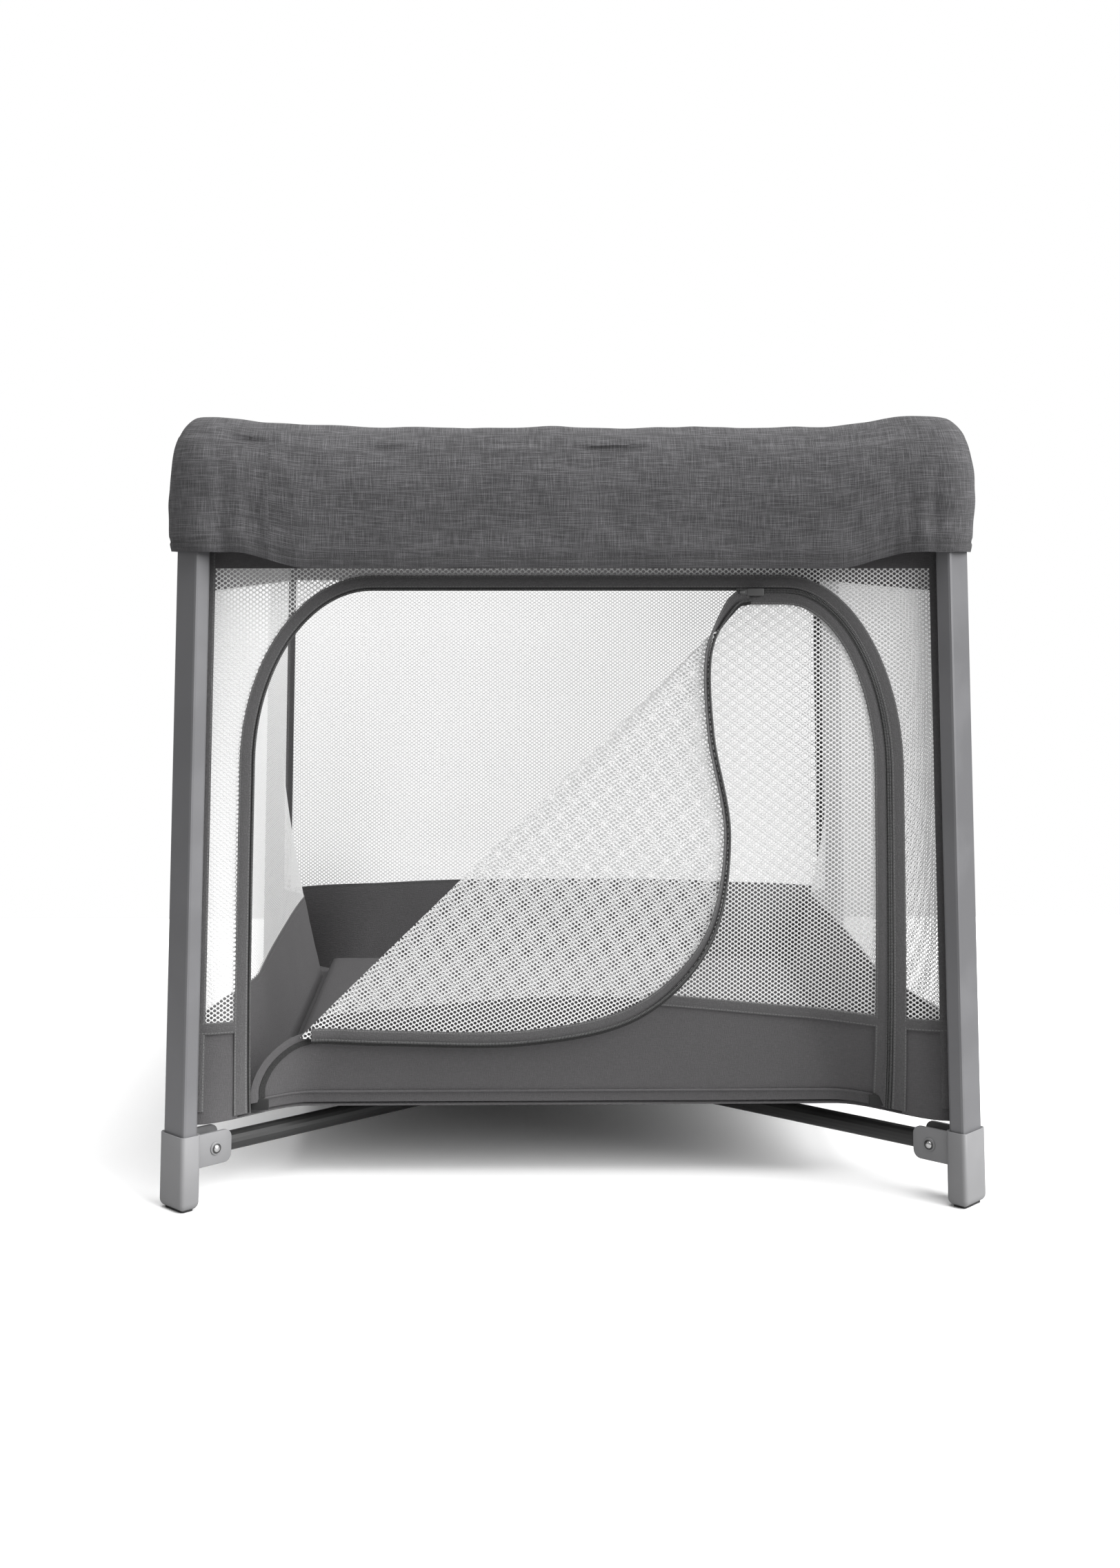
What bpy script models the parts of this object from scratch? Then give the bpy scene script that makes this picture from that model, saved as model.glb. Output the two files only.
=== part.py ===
"""Folding square playpen: tube legs, diagonal struts on a central hub, folding top rails, mesh walls with a zip door.

Metres, +Z up, front towards -Y, origin on the floor under the hub.
"""

import math

import bmesh
import bpy
from mathutils import Matrix, Vector

GAP = 0.0003

# Legs: the tube's axis meets the floor at (FOOT_HALF, FOOT_HALF) and leans inwards by LEAN metres per metre.
FOOT_HALF = 0.4278
LEAN = 0.0195
LEG_WIDE, LEG_THIN, LEG_WALL = 0.037, 0.019, 0.0015
LEG_BOTTOM, LEG_TOP = 0.014, 0.832
CAP_WALL = 0.0027
CAP_BOTTOM, CAP_TOP = 0.0052, 0.081
PAD_TOP = 0.0045
LUG_Z, LUG_OUT, LUG_END = 0.061, 0.0364, 0.057
LUG_HALF_HEIGHT = 0.0175
EAR_THICK = 0.004

# Struts run from the lugs to a slightly lower hub, so that the hub locks over centre.
STRUT_R = 0.0105
EAR_GAP_HALF = STRUT_R + 0.0004
HUB_PIVOT_R = 0.058
HUB_PIVOT_Z = 0.042
PIN_R = 0.003
TRUNNION_R = 0.0035

# Top rails: two halves a side, level with the struts' lines so that every pivot turns by the same angle.
BRACKET_OUT = 0.036
RAIL_R = 0.011
CORNER_PIVOT_Z = 0.803
TONGUE_HALF = 0.004
TONGUE_R = 0.009

# Walls.
WALL_INSET = 0.0125
FLOOR_Z, SEAM_Z = 0.086, 0.104
BAND_TOP_CORNER, BAND_TOP_MIDDLE = 0.190, 0.213
MESH_TOP = 0.775
BOW = 0.070
FABRIC = 0.003
NET = 0.002

# Padded cover round the rails.
COVER_OUTER, COVER_INNER = 0.4432, 0.382
COVER_TOP, COVER_HEM, COVER_INNER_HEM = 0.852, 0.692, 0.760
COVER_THICK = 0.006

# Door in the front wall: an arch with a wide left shoulder and a narrower right one.
DOOR_LEFT, DOOR_RIGHT, DOOR_TOP, DOOR_BOTTOM = -0.377, 0.371, 0.680, 0.0905
SHOULDER_LEFT, SHOULDER_RIGHT = (0.190, 0.230), (0.140, 0.230)
BINDING = 0.014
FOLD_LOW, FOLD_HIGH = Vector((-0.303, 0.170)), Vector((0.152, 0.620))
SLIDER_X = 0.185

COLOURS = {
    "leg_grey": ((0.16, 0.165, 0.175), 0.45, 0.6),
    "cap_grey": ((0.30, 0.305, 0.315), 0.5, 0.0),
    "rubber_black": ((0.03, 0.03, 0.03), 0.8, 0.0),
    "rivet_steel": ((0.6, 0.6, 0.6), 0.25, 1.0),
    "strut_grey": ((0.07, 0.07, 0.075), 0.45, 0.5),
    "nylon_black": ((0.04, 0.04, 0.045), 0.5, 0.0),
    "rail_grey": ((0.30, 0.30, 0.31), 0.4, 0.7),
    "cover_fabric": ((0.115, 0.115, 0.122), 0.9, 0.0),
    "band_fabric": ((0.098, 0.093, 0.096), 0.85, 0.0),
    "mat_fabric": ((0.066, 0.062, 0.064), 0.85, 0.0),
    "net_white": ((0.85, 0.85, 0.85), 0.7, 0.0),
    "zip_grey": ((0.05, 0.05, 0.055), 0.4, 0.2),
}

CORNERS = ("front_left", "front_right", "back_right", "back_left")
SIDES = ("front", "right", "back", "left")


def clear_scene():
    for old in list(bpy.data.objects):
        bpy.data.objects.remove(old, do_unlink=True)


def material(name):
    found = bpy.data.materials.get(name)
    if found:
        return found
    colour, roughness, metallic = COLOURS[name]
    made = bpy.data.materials.new(name)
    made.use_nodes = True
    shader = made.node_tree.nodes["Principled BSDF"]
    shader.inputs["Base Color"].default_value = (*colour, 1)
    shader.inputs["Roughness"].default_value = roughness
    shader.inputs["Metallic"].default_value = metallic
    made.diffuse_color = (*colour, 1)
    return made


def mesh_of(bm, name="shape"):
    bmesh.ops.recalc_face_normals(bm, faces=bm.faces[:])
    mesh = bpy.data.meshes.new(name)
    bm.to_mesh(mesh)
    bm.free()
    return mesh


def place(name, mesh, paint, matrix=None):
    """One visible node. Its own copy of the paint keeps every sub-part's material separate."""
    node = bpy.data.objects.new(name, mesh.copy())
    bpy.context.scene.collection.objects.link(node)
    node.data.materials.clear()
    node.data.materials.append(material(paint))
    node.data.shade_smooth()
    node.data.set_sharp_from_angle(angle=math.radians(35))
    if matrix is not None:
        node.matrix_world = matrix
    return node


def box(low, high, bevel=0.0):
    bm = bmesh.new()
    bmesh.ops.create_cube(bm, size=1)
    size = Vector(high) - Vector(low)
    middle = (Vector(high) + Vector(low)) / 2
    bmesh.ops.transform(bm, matrix=Matrix.Translation(middle) @ Matrix.Diagonal((*size, 1)), verts=bm.verts)
    if bevel:
        bmesh.ops.bevel(bm, geom=bm.edges[:], offset=bevel, segments=2, profile=0.5, affect="EDGES", material=-1)
    return mesh_of(bm)


def rod(start, end, radius, sides=16):
    """A round bar between two points."""
    bm = bmesh.new()
    run = Vector(end) - Vector(start)
    bmesh.ops.create_cone(
        bm, cap_ends=True, segments=sides, radius1=radius, radius2=radius, depth=run.length
    )
    turn = run.to_track_quat("Z", "Y").to_matrix().to_4x4()
    middle = (Vector(start) + Vector(end)) / 2
    bmesh.ops.transform(bm, matrix=Matrix.Translation(middle) @ turn, verts=bm.verts)
    return mesh_of(bm)


def ball(centre, radius):
    bm = bmesh.new()
    bmesh.ops.create_uvsphere(bm, u_segments=16, v_segments=8, radius=radius)
    bmesh.ops.translate(bm, vec=Vector(centre), verts=bm.verts)
    return mesh_of(bm)


def rounded_tube(wide, thin, low, high, radius, hollow=0.0):
    """A rectangular section with rounded edges, thin along X and wide along Y, open right through if hollow."""
    def outline(inset, corner):
        points = []
        for turn, (sx, sy) in enumerate(((1, 1), (-1, 1), (-1, -1), (1, -1))):
            cx = sx * (thin / 2 - inset - corner)
            cy = sy * (wide / 2 - inset - corner)
            for step in range(3):
                angle = math.radians(90 * turn + 45 * step)
                points.append((cx + corner * math.cos(angle), cy + corner * math.sin(angle)))
        return points

    bm = bmesh.new()
    outer = outline(0, radius)
    inner = outline(hollow, max(radius - hollow, 0.0005)) if hollow else []
    rings = []
    for points in (outer, inner) if hollow else (outer,):
        rings.append([[bm.verts.new((x, y, z)) for x, y in points] for z in (low, high)])
    count = len(outer)
    for below, above in rings:
        for i in range(count):
            j = (i + 1) % count
            bm.faces.new((below[i], below[j], above[j], above[i]))
    for level in (0, 1):
        if hollow:
            for i in range(count):
                j = (i + 1) % count
                bm.faces.new((rings[0][level][i], rings[0][level][j], rings[1][level][j], rings[1][level][i]))
        else:
            bm.faces.new(rings[0][level])
    return mesh_of(bm)


def combine(base, adds=(), cuts=()):
    """The base mesh with each add joined on and each cut taken away."""
    scene = bpy.context.scene.collection.objects
    work = bpy.data.objects.new("work", base)
    scene.link(work)
    tools = []
    for operation, meshes in (("UNION", adds), ("DIFFERENCE", cuts)):
        for mesh in meshes:
            tool = bpy.data.objects.new("tool", mesh)
            scene.link(tool)
            tools.append(tool)
            boolean = work.modifiers.new(operation.lower(), "BOOLEAN")
            boolean.operation = operation
            boolean.solver = "EXACT"
            boolean.object = tool
    graph = bpy.context.evaluated_depsgraph_get()
    graph.update()
    done = bpy.data.meshes.new_from_object(work.evaluated_get(graph))
    for used in (work, *tools):
        bpy.data.objects.remove(used, do_unlink=True)
    return done


def corner_angle(index):
    return math.radians(225 + 90 * index)


def radial(index):
    return Vector((math.cos(corner_angle(index)), math.sin(corner_angle(index)), 0))


def corner_frame(index):
    """Local +X points outwards along the diagonal, and Z is world up."""
    return Matrix.Rotation(corner_angle(index), 4, "Z")


def leg_frame(index):
    """As corner_frame, but standing at the foot and leaning with the leg."""
    foot = radial(index) * FOOT_HALF * math.sqrt(2)
    lean = math.atan(LEAN * math.sqrt(2))
    return Matrix.Translation(foot) @ corner_frame(index) @ Matrix.Rotation(-lean, 4, "Y")


def leg_half(z):
    return FOOT_HALF - LEAN * z


def lug_pivot(index):
    return leg_frame(index) @ Vector((-LUG_OUT, 0, LUG_Z))


def lug_radius():
    """Distance from the pen's centre to a lug's pivot."""
    return lug_pivot(0).dot(radial(0))


def reach():
    """How far apart each pair of pivots stands along X or Y: the same for struts and rails."""
    return (lug_radius() - HUB_PIVOT_R) / math.sqrt(2)


def rail_line():
    """Distance of the rails' centre lines from the pen's middle."""
    return leg_half(CORNER_PIVOT_Z)


def corner_pivot():
    return rail_line() - BRACKET_OUT


def latch_pivot():
    return corner_pivot() - reach()


def latch_pivot_z():
    """The latch's pivots stand above the brackets' by as much as the hub's lie below the lugs'."""
    slope = (lug_pivot(0).z - HUB_PIVOT_Z) / (lug_radius() - HUB_PIVOT_R)
    return CORNER_PIVOT_Z + reach() * slope


def legs():
    tube = rounded_tube(LEG_WIDE, LEG_THIN, LEG_BOTTOM, LEG_TOP, 0.003, LEG_WALL)
    for index, corner in enumerate(CORNERS):
        place(f"leg_{corner}", tube, "leg_grey", leg_frame(index))


def lug_ear(side):
    """One cheek of the fork that holds the strut, with rounded outer corners."""
    near = side * EAR_GAP_HALF
    far = side * (EAR_GAP_HALF + EAR_THICK)
    low, high = LUG_Z - LUG_HALF_HEIGHT, LUG_Z + LUG_HALF_HEIGHT
    radius = 0.009
    points = [(-LEG_THIN / 2 - CAP_WALL + 0.001, low), (-LUG_END + radius, low)]
    for cz, start in ((low + radius, 270), (high - radius, 180)):
        for step in range(4):
            angle = math.radians(start - 30 * step)
            points.append((-LUG_END + radius + radius * math.cos(angle), cz + radius * math.sin(angle)))
    points += [(-LUG_END + radius, high), (-LEG_THIN / 2 - CAP_WALL + 0.001, high)]
    return prism(unique(points), near, far)


def unique(points):
    """The same outline without a point that repeats the one before it."""
    kept = []
    for point in points:
        if not kept or math.dist(point, kept[-1]) > 1e-5:
            kept.append(point)
    return kept


def prism(points, near, far):
    """An outline in X and Z, extruded along Y."""
    bm = bmesh.new()
    face = bm.faces.new([bm.verts.new((x, near, z)) for x, z in points])
    grown = bmesh.ops.extrude_face_region(bm, geom=[face])
    moved = [v for v in grown["geom"] if isinstance(v, bmesh.types.BMVert)]
    bmesh.ops.translate(bm, vec=(0, far - near, 0), verts=moved)
    bmesh.ops.triangulate(bm, faces=[f for f in bm.faces if len(f.verts) > 4])
    return mesh_of(bm)


def feet():
    """Plastic foot with a socket for the leg and a fork for the strut, its rubber pad and its pivot rivet."""
    wide, thin = LEG_WIDE + 2 * (GAP + CAP_WALL), LEG_THIN + 2 * (GAP + CAP_WALL)
    shell = rounded_tube(wide, thin, CAP_BOTTOM, CAP_TOP, 0.005)
    socket = rounded_tube(LEG_WIDE + 2 * GAP, LEG_THIN + 2 * GAP, LEG_BOTTOM - GAP, CAP_TOP + 0.01, 0.0033)
    peg_hole = rod((0, 0, CAP_BOTTOM - 0.005), (0, 0, LEG_BOTTOM), 0.0048)
    across = EAR_GAP_HALF + EAR_THICK
    pin_hole = rod((-LUG_OUT, -across - 0.002, LUG_Z), (-LUG_OUT, across + 0.002, LUG_Z), PIN_R + GAP)
    foot = combine(shell, (lug_ear(1), lug_ear(-1)), (socket, peg_hole, pin_hole))
    pad_plate = rounded_tube(LEG_WIDE, LEG_THIN, 0, PAD_TOP, 0.004)
    pad = combine(pad_plate, (rod((0, 0, PAD_TOP - 0.001), (0, 0, 0.011), 0.004),))
    head = 0.0038
    shank = rod((0, -across - 0.0005, 0), (0, across + 0.0005, 0), PIN_R)
    heads = [rod((0, s * (across + GAP), 0), (0, s * (across + 0.0018), 0), head) for s in (1, -1)]
    rivet = combine(shank, heads)
    for index, corner in enumerate(CORNERS):
        place(f"foot_{corner}", foot, "cap_grey", leg_frame(index))
        stand = Matrix.Translation(radial(index) * FOOT_HALF * math.sqrt(2)) @ corner_frame(index)
        place(f"foot_pad_{corner}", pad, "rubber_black", stand)
        at = leg_frame(index) @ Matrix.Translation((-LUG_OUT, 0, LUG_Z))
        place(f"lug_rivet_{corner}", rivet, "rivet_steel", at)


def struts():
    """Round struts with a hole for the lug's rivet at one end and a cross pin for the hub at the other."""
    for index, corner in enumerate(CORNERS):
        start = Vector((HUB_PIVOT_R, 0, HUB_PIVOT_Z))
        end = Vector((lug_radius(), 0, lug_pivot(index).z))
        across = EAR_GAP_HALF + EAR_THICK
        side = Vector((0, across, 0))
        body = combine(
            rod(start, end, STRUT_R),
            (ball(start, STRUT_R), ball(end, STRUT_R), rod(start - side, start + side, TRUNNION_R)),
            (rod(end - side, end + side, PIN_R + GAP),),
        )
        body.transform(Matrix.Translation(-start))
        place(f"strut_{corner}", body, "strut_grey", corner_frame(index) @ Matrix.Translation(start))


def hub():
    """Round plate with four forks under it, and a cover with a slot for the pull strap."""
    plate_low, plate_high, plate_r = HUB_PIVOT_Z + STRUT_R + 0.0015, HUB_PIVOT_Z + 0.018, 0.072
    ears, holes = [], []
    ear_r = 0.0095
    for index in range(4):
        turn = corner_frame(index)
        for side in (1, -1):
            near, far = side * EAR_GAP_HALF, side * (EAR_GAP_HALF + EAR_THICK)
            low = (HUB_PIVOT_R - ear_r, min(near, far), HUB_PIVOT_Z - ear_r)
            ear = box(low, (HUB_PIVOT_R + ear_r, max(near, far), plate_low + 0.002))
            ear.transform(turn)
            ears.append(ear)
        hole = rod((HUB_PIVOT_R, -0.02, HUB_PIVOT_Z), (HUB_PIVOT_R, 0.02, HUB_PIVOT_Z), TRUNNION_R + GAP)
        hole.transform(turn)
        holes.append(hole)
    plate = rod((0, 0, plate_low), (0, 0, plate_high), plate_r, 32)
    place("hub_base", combine(plate, ears, holes), "nylon_black")
    cover = rod((0, 0, plate_high + GAP), (0, 0, plate_high + 0.008), plate_r - 0.004, 32)
    slot = box((-0.015, -0.003, plate_high + 0.004), (0.015, 0.003, plate_high + 0.02))
    place("hub_cover", combine(cover, (), (slot,)), "nylon_black")
    foot_of_strap = plate_high + 0.004 + GAP
    place("pull_strap", box((-0.0125, -0.0015, foot_of_strap), (0.0125, 0.0015, 0.117)), "nylon_black")


def brackets():
    """Corner socket on each leg's top, with a fork for each of its two rails."""
    outer_r = 0.010
    wide, thin = LEG_WIDE + 2 * (GAP + CAP_WALL), LEG_THIN + 2 * (GAP + CAP_WALL)
    low, high = 0.780, LEG_TOP + 0.007
    for index, corner in enumerate(CORNERS):
        to_leg = leg_frame(index)
        shell = rounded_tube(wide, thin, low, high, 0.004)
        socket = rounded_tube(LEG_WIDE + 2 * GAP, LEG_THIN + 2 * GAP, low - 0.01, LEG_TOP + GAP, 0.0033)
        for mesh in (shell, socket):
            mesh.transform(to_leg)
        at = rail_line()
        sign = Vector((math.copysign(1, radial(index).x), math.copysign(1, radial(index).y), 0))
        ears, holes = [], []
        for axis in (0, 1):
            for side in (1, -1):
                near, far = TONGUE_HALF + GAP, TONGUE_HALF + GAP + EAR_THICK
                along = sorted((sign[axis] * (at - 0.012), sign[axis] * (at - BRACKET_OUT - outer_r)))
                beside = sorted((sign[1 - axis] * at + side * near, sign[1 - axis] * at + side * far))
                spans = {axis: along, 1 - axis: beside}
                lows = (spans[0][0], spans[1][0], CORNER_PIVOT_Z - outer_r)
                highs = (spans[0][1], spans[1][1], CORNER_PIVOT_Z + outer_r)
                ears.append(box(lows, highs))
            pivot = Vector((0, 0, CORNER_PIVOT_Z))
            pivot[axis] = sign[axis] * (at - BRACKET_OUT)
            pivot[1 - axis] = sign[1 - axis] * at
            across = Vector((0, 0, 0))
            across[1 - axis] = 0.012
            holes.append(rod(pivot - across, pivot + across, TRUNNION_R + GAP))
        place(f"corner_bracket_{corner}", combine(shell, ears, (*holes, socket)), "nylon_black")


def rail_half_mesh():
    """From its corner pivot at the origin towards the latch along +X."""
    length = reach()
    rise = latch_pivot_z() - CORNER_PIVOT_Z
    middle = rise / 2
    clear = 0.016
    tube = rod((clear, 0, middle), (length - clear, 0, middle), RAIL_R)
    adds = []
    for x, z, inwards in ((0, 0, 1), (length, rise, -1)):
        outline = []
        for step in range(7):
            angle = math.radians(90 + 30 * step)
            outline.append((x + inwards * TONGUE_R * math.cos(angle), z + TONGUE_R * math.sin(angle)))
        root = x + inwards * (clear + 0.008)
        outline += [(root, middle - 0.007), (root, middle + 0.007)]
        adds.append(prism(outline, -TONGUE_HALF, TONGUE_HALF))
        across = TONGUE_HALF + GAP + EAR_THICK
        adds.append(rod((x, -across, z), (x, across, z), TRUNNION_R, 12))
    return combine(tube, adds)


def rail_start(side, half):
    """The corner pivot of one rail half: half 0 starts at the side's first corner, half 1 at the next."""
    along = Matrix.Rotation(math.radians(90 * side), 4, "Z")
    x = corner_pivot() * (-1 if half == 0 else 1)
    return along @ Vector((x, -rail_line(), CORNER_PIVOT_Z))


def rails():
    mesh = rail_half_mesh()
    for side, name in enumerate(SIDES):
        for half, ending in enumerate(("a", "b")):
            turn = Matrix.Rotation(math.radians(90 * side + 180 * half), 4, "Z")
            place(f"rail_{name}_{ending}", mesh, "rail_grey", Matrix.Translation(rail_start(side, half)) @ turn)


def latches():
    """Channel that joins two rail halves, closed below them so that their middle can only drop, and its button."""
    m, z = latch_pivot(), latch_pivot_z()
    near, far = TONGUE_HALF + GAP, TONGUE_HALF + GAP + EAR_THICK
    end, floor = m + 0.011, z - TONGUE_R - 0.0035
    button_half = 0.005
    solid = box((-end, -far, floor - 0.003), (end, far, z + 0.010))
    channel = box((-end - 0.01, -near, floor), (end + 0.01, near, z + 0.02))
    button_hole = box((-button_half - GAP, -near, z - 0.03), (button_half + GAP, near, z))
    holes = [rod((x, -0.02, z), (x, 0.02, z), TRUNNION_R + GAP) for x in (-m, m)]
    body = combine(solid, (), (channel, button_hole, *holes))
    button = box((-button_half, -TONGUE_HALF, z - 0.021), (button_half, TONGUE_HALF, z - 0.004), 0.001)
    for side, name in enumerate(SIDES):
        at = Matrix.Rotation(math.radians(90 * side), 4, "Z") @ Matrix.Translation((0, -rail_line(), 0))
        place(f"rail_latch_{name}", body, "nylon_black", at)
        place(f"latch_button_{name}", button, "cap_grey", at)


def covers():
    """Padded channel over each pair of rails, mitred where two sides meet."""
    thick = COVER_THICK
    shoulder = 0.018
    outer_x, inner_x = COVER_OUTER, COVER_INNER
    section = [(outer_x, COVER_HEM), (outer_x, COVER_TOP - shoulder)]
    section += [(outer_x - 0.006, COVER_TOP - 0.006), (outer_x - shoulder, COVER_TOP)]
    section += [(inner_x + shoulder, COVER_TOP), (inner_x + 0.006, COVER_TOP - 0.006)]
    section += [(inner_x, COVER_TOP - shoulder), (inner_x, COVER_INNER_HEM)]
    section += [(inner_x + thick, COVER_INNER_HEM), (inner_x + thick, COVER_TOP - thick - 0.006)]
    section += [(inner_x + thick + 0.006, COVER_TOP - thick), (outer_x - thick - 0.006, COVER_TOP - thick)]
    section += [(outer_x - thick, COVER_TOP - thick - 0.006), (outer_x - thick, COVER_HEM)]
    bm = bmesh.new()
    stations = 8
    rings = []
    for station in range(stations + 1):
        share = 2 * station / stations - 1
        rings.append([bm.verts.new((share * (out - GAP), -out, z)) for out, z in section])
    count = len(section)
    for near, far in zip(rings, rings[1:]):
        for i in range(count):
            j = (i + 1) % count
            bm.faces.new((near[i], near[j], far[j], far[i]))
    walls_of_end = ((0, 1, 12, 13), (1, 2, 12), (2, 3, 11, 12), (3, 4, 10, 11), (4, 5, 9, 10), (5, 6, 9), (6, 7, 8, 9))
    for ring in (rings[0], rings[-1]):
        for corners in walls_of_end:
            bm.faces.new([ring[corner] for corner in corners])
    mesh = mesh_of(bm)
    for side, name in enumerate(SIDES):
        place(f"top_cover_{name}", mesh, "cover_fabric", Matrix.Rotation(math.radians(90 * side), 4, "Z"))


def wall_half(z):
    return leg_half(z) - WALL_INSET


def wall_bow(x, z):
    """How far the wall stands in from the straight line between two legs, most at the floor and none at the rail."""
    up = min(max((z - FLOOR_Z) / (MESH_TOP - FLOOR_Z), 0), 1)
    half = wall_half(z)
    ramp = 0.115 + (half - 0.115) * up
    s = min(max((half - abs(x)) / ramp, 0), 1)
    return BOW * (1 - up) ** 1.3 * s * s * (3 - 2 * s)


def front_y(x, z):
    return -(wall_half(z) - wall_bow(x, z))


def band_top(x):
    s = min(abs(x) / wall_half(BAND_TOP_CORNER), 1)
    return BAND_TOP_MIDDLE + (BAND_TOP_CORNER - BAND_TOP_MIDDLE) * s ** 3


def across(count, half):
    """Stations along one wall, closer together towards the corners, where it turns in."""
    return [half * math.sin(math.pi / 2 * (2 * i / count - 1)) for i in range(count + 1)]


def wall_sheet(low, high, thick, columns=16, rows=5, proud=0.0):
    """Thin closed solid that follows the front wall from low(x) to high(x), clear of its neighbours' ends."""
    margin = thick / 2 + 2 * GAP
    bm = bmesh.new()
    grids = []
    for depth in (-thick / 2 - proud, thick / 2 - proud):
        grid = []
        for row in range(rows + 1):
            line = []
            for i in range(columns + 1):
                share = across(columns, 1)[i]
                x = share * wall_half(low(0))
                z = low(x) + (high(x) - low(x)) * row / rows
                x = share * (wall_half(z) - margin)
                line.append(bm.verts.new((x, front_y(x, z) + depth, z)))
            grid.append(line)
        grids.append(grid)
    front, back = grids
    for grid in grids:
        for row in range(rows):
            for i in range(columns):
                bm.faces.new((grid[row][i], grid[row][i + 1], grid[row + 1][i + 1], grid[row + 1][i]))
    for row in range(rows):
        for i in (0, columns):
            bm.faces.new((front[row][i], back[row][i], back[row + 1][i], front[row + 1][i]))
    for i in range(columns):
        for row in (0, rows):
            bm.faces.new((front[row][i], back[row][i], back[row][i + 1], front[row][i + 1]))
    bmesh.ops.triangulate(bm, faces=bm.faces[:])
    return mesh_of(bm)


def door_outline(inset, bottom, steps=8):
    """The arch in X and Z from the foot of its left side, over the top, to the foot of its right side."""
    left, right, top = DOOR_LEFT + inset, DOOR_RIGHT - inset, DOOR_TOP - inset
    points = [(left, bottom), (left, bottom + 0.12)]
    for (rx, rz), side, start in ((SHOULDER_LEFT, -1, 180), (SHOULDER_RIGHT, 1, 90)):
        rx, rz = rx - inset, rz - inset
        cx = left + rx if side < 0 else right - rx
        for step in range(steps + 1):
            angle = math.radians(start - 90 * step / steps)
            points.append((cx + rx * math.cos(angle), top - rz + rz * math.sin(angle)))
    return subdivided(points + [(right, bottom + 0.12), (right, bottom)])


def subdivided(points, longest=0.055):
    """The same outline with points added along its long straight stretches, so that it can follow the wall."""
    filled = [points[0]]
    for a, b in zip(points, points[1:]):
        parts = max(1, math.ceil(math.dist(a, b) / longest))
        for part in range(1, parts + 1):
            share = part / parts
            filled.append((a[0] + (b[0] - a[0]) * share, a[1] + (b[1] - a[1]) * share))
    return filled


def doorway(bottom):
    """Cutter for the door's hole: a block that follows the front wall, so that it misses the walls beside it."""
    block = wall_sheet(lambda x: bottom, lambda x: 0.720, 0.016, 20, 6)
    return keep_inside(block, door_outline(-GAP, bottom - 0.01))


def door_frame():
    """Stitched binding with the zip's fixed chain, round the arch."""
    bm = bmesh.new()
    outer, inner = door_outline(0, DOOR_BOTTOM), door_outline(BINDING, DOOR_BOTTOM)
    rings = []
    for (ox, oz), (ix, iz) in zip(outer, inner):
        corners = ((ox, oz, -1), (ix, iz, -1), (ix, iz, 1), (ox, oz, 1))
        rings.append([bm.verts.new((x, front_y(x, z) + side * 0.002, z)) for x, z, side in corners])
    for a, b in zip(rings, rings[1:]):
        for i in range(4):
            j = (i + 1) % 4
            bm.faces.new((a[i], a[j], b[j], b[i]))
    bm.faces.new(rings[0])
    bm.faces.new(rings[-1])
    bmesh.ops.triangulate(bm, faces=bm.faces[:])
    place("door_frame", mesh_of(bm), "band_fabric")


def keep_inside(mesh, outline):
    """The part of a wall sheet inside an outline in X and Z."""
    work = bpy.data.objects.new("work", mesh)
    tool = bpy.data.objects.new("tool", prism(outline, -0.6, -0.2))
    for helper in (work, tool):
        bpy.context.scene.collection.objects.link(helper)
    boolean = work.modifiers.new("inside", "BOOLEAN")
    boolean.operation = "INTERSECT"
    boolean.solver = "EXACT"
    boolean.object = tool
    graph = bpy.context.evaluated_depsgraph_get()
    graph.update()
    done = bpy.data.meshes.new_from_object(work.evaluated_get(graph))
    for used in (work, tool):
        bpy.data.objects.remove(used, do_unlink=True)
    return done


def free_edge(steps=16):
    """The hanging edge of the turned-back door corner, as a smooth curve from the slider down to the fold's foot."""
    marks = [(0.178, 0.640), (0.150, 0.600), (0.152, 0.510), (0.171, 0.395), (0.150, 0.278)]
    marks += [(0.072, 0.196), (-0.051, 0.166), (-0.200, 0.165), (-0.290, 0.168)]
    points = [Vector(mark) for mark in marks]
    padded = [points[0] * 2 - points[1], *points, points[-1] * 2 - points[-2]]
    curve = []
    for a, b, c, d in zip(padded, padded[1:], padded[2:], padded[3:]):
        for step in range(steps // 4):
            t = step * 4 / steps
            low = 2 * b + (c - a) * t
            high = (2 * a - 5 * b + 4 * c - d) * t * t + (3 * b - a - 3 * c + d) * t ** 3
            curve.append(tuple((low + high) / 2))
    return curve + [tuple(points[-1])]


def door():
    """The closed part of the door, and the corner turned back over it."""
    closed = door_outline(BINDING + GAP, DOOR_BOTTOM)
    top_right = [p for p in closed if p[0] > SLIDER_X]
    foot = (DOOR_LEFT + BINDING + 0.014, DOOR_BOTTOM)
    top = DOOR_TOP - BINDING - GAP
    outline = [foot, (foot[0] + 0.012, 0.130), tuple(FOLD_LOW), tuple(FOLD_HIGH), (SLIDER_X, top), *top_right]
    sheet = wall_sheet(lambda x: DOOR_BOTTOM, lambda x: 0.700, NET, 20, 6)
    place("door_panel", keep_inside(sheet, outline), "net_white")
    flap = wall_sheet(lambda x: 0.120, lambda x: 0.700, NET, 20, 6, 0.006)
    place("door_flap", keep_inside(flap, [tuple(FOLD_LOW), tuple(FOLD_HIGH), *free_edge()]), "net_white")


def walls():
    """Net panels between the legs above the fabric tub. The front one goes round the door."""
    side_net = wall_sheet(lambda x: band_top(x) + 0.001, lambda x: MESH_TOP, NET)
    for side, name in enumerate(SIDES[1:], 1):
        place(f"net_{name}", side_net, "net_white", Matrix.Rotation(math.radians(90 * side), 4, "Z"))
    place("net_front", combine(side_net.copy(), (), (doorway(0.12),)), "net_white")


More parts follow.
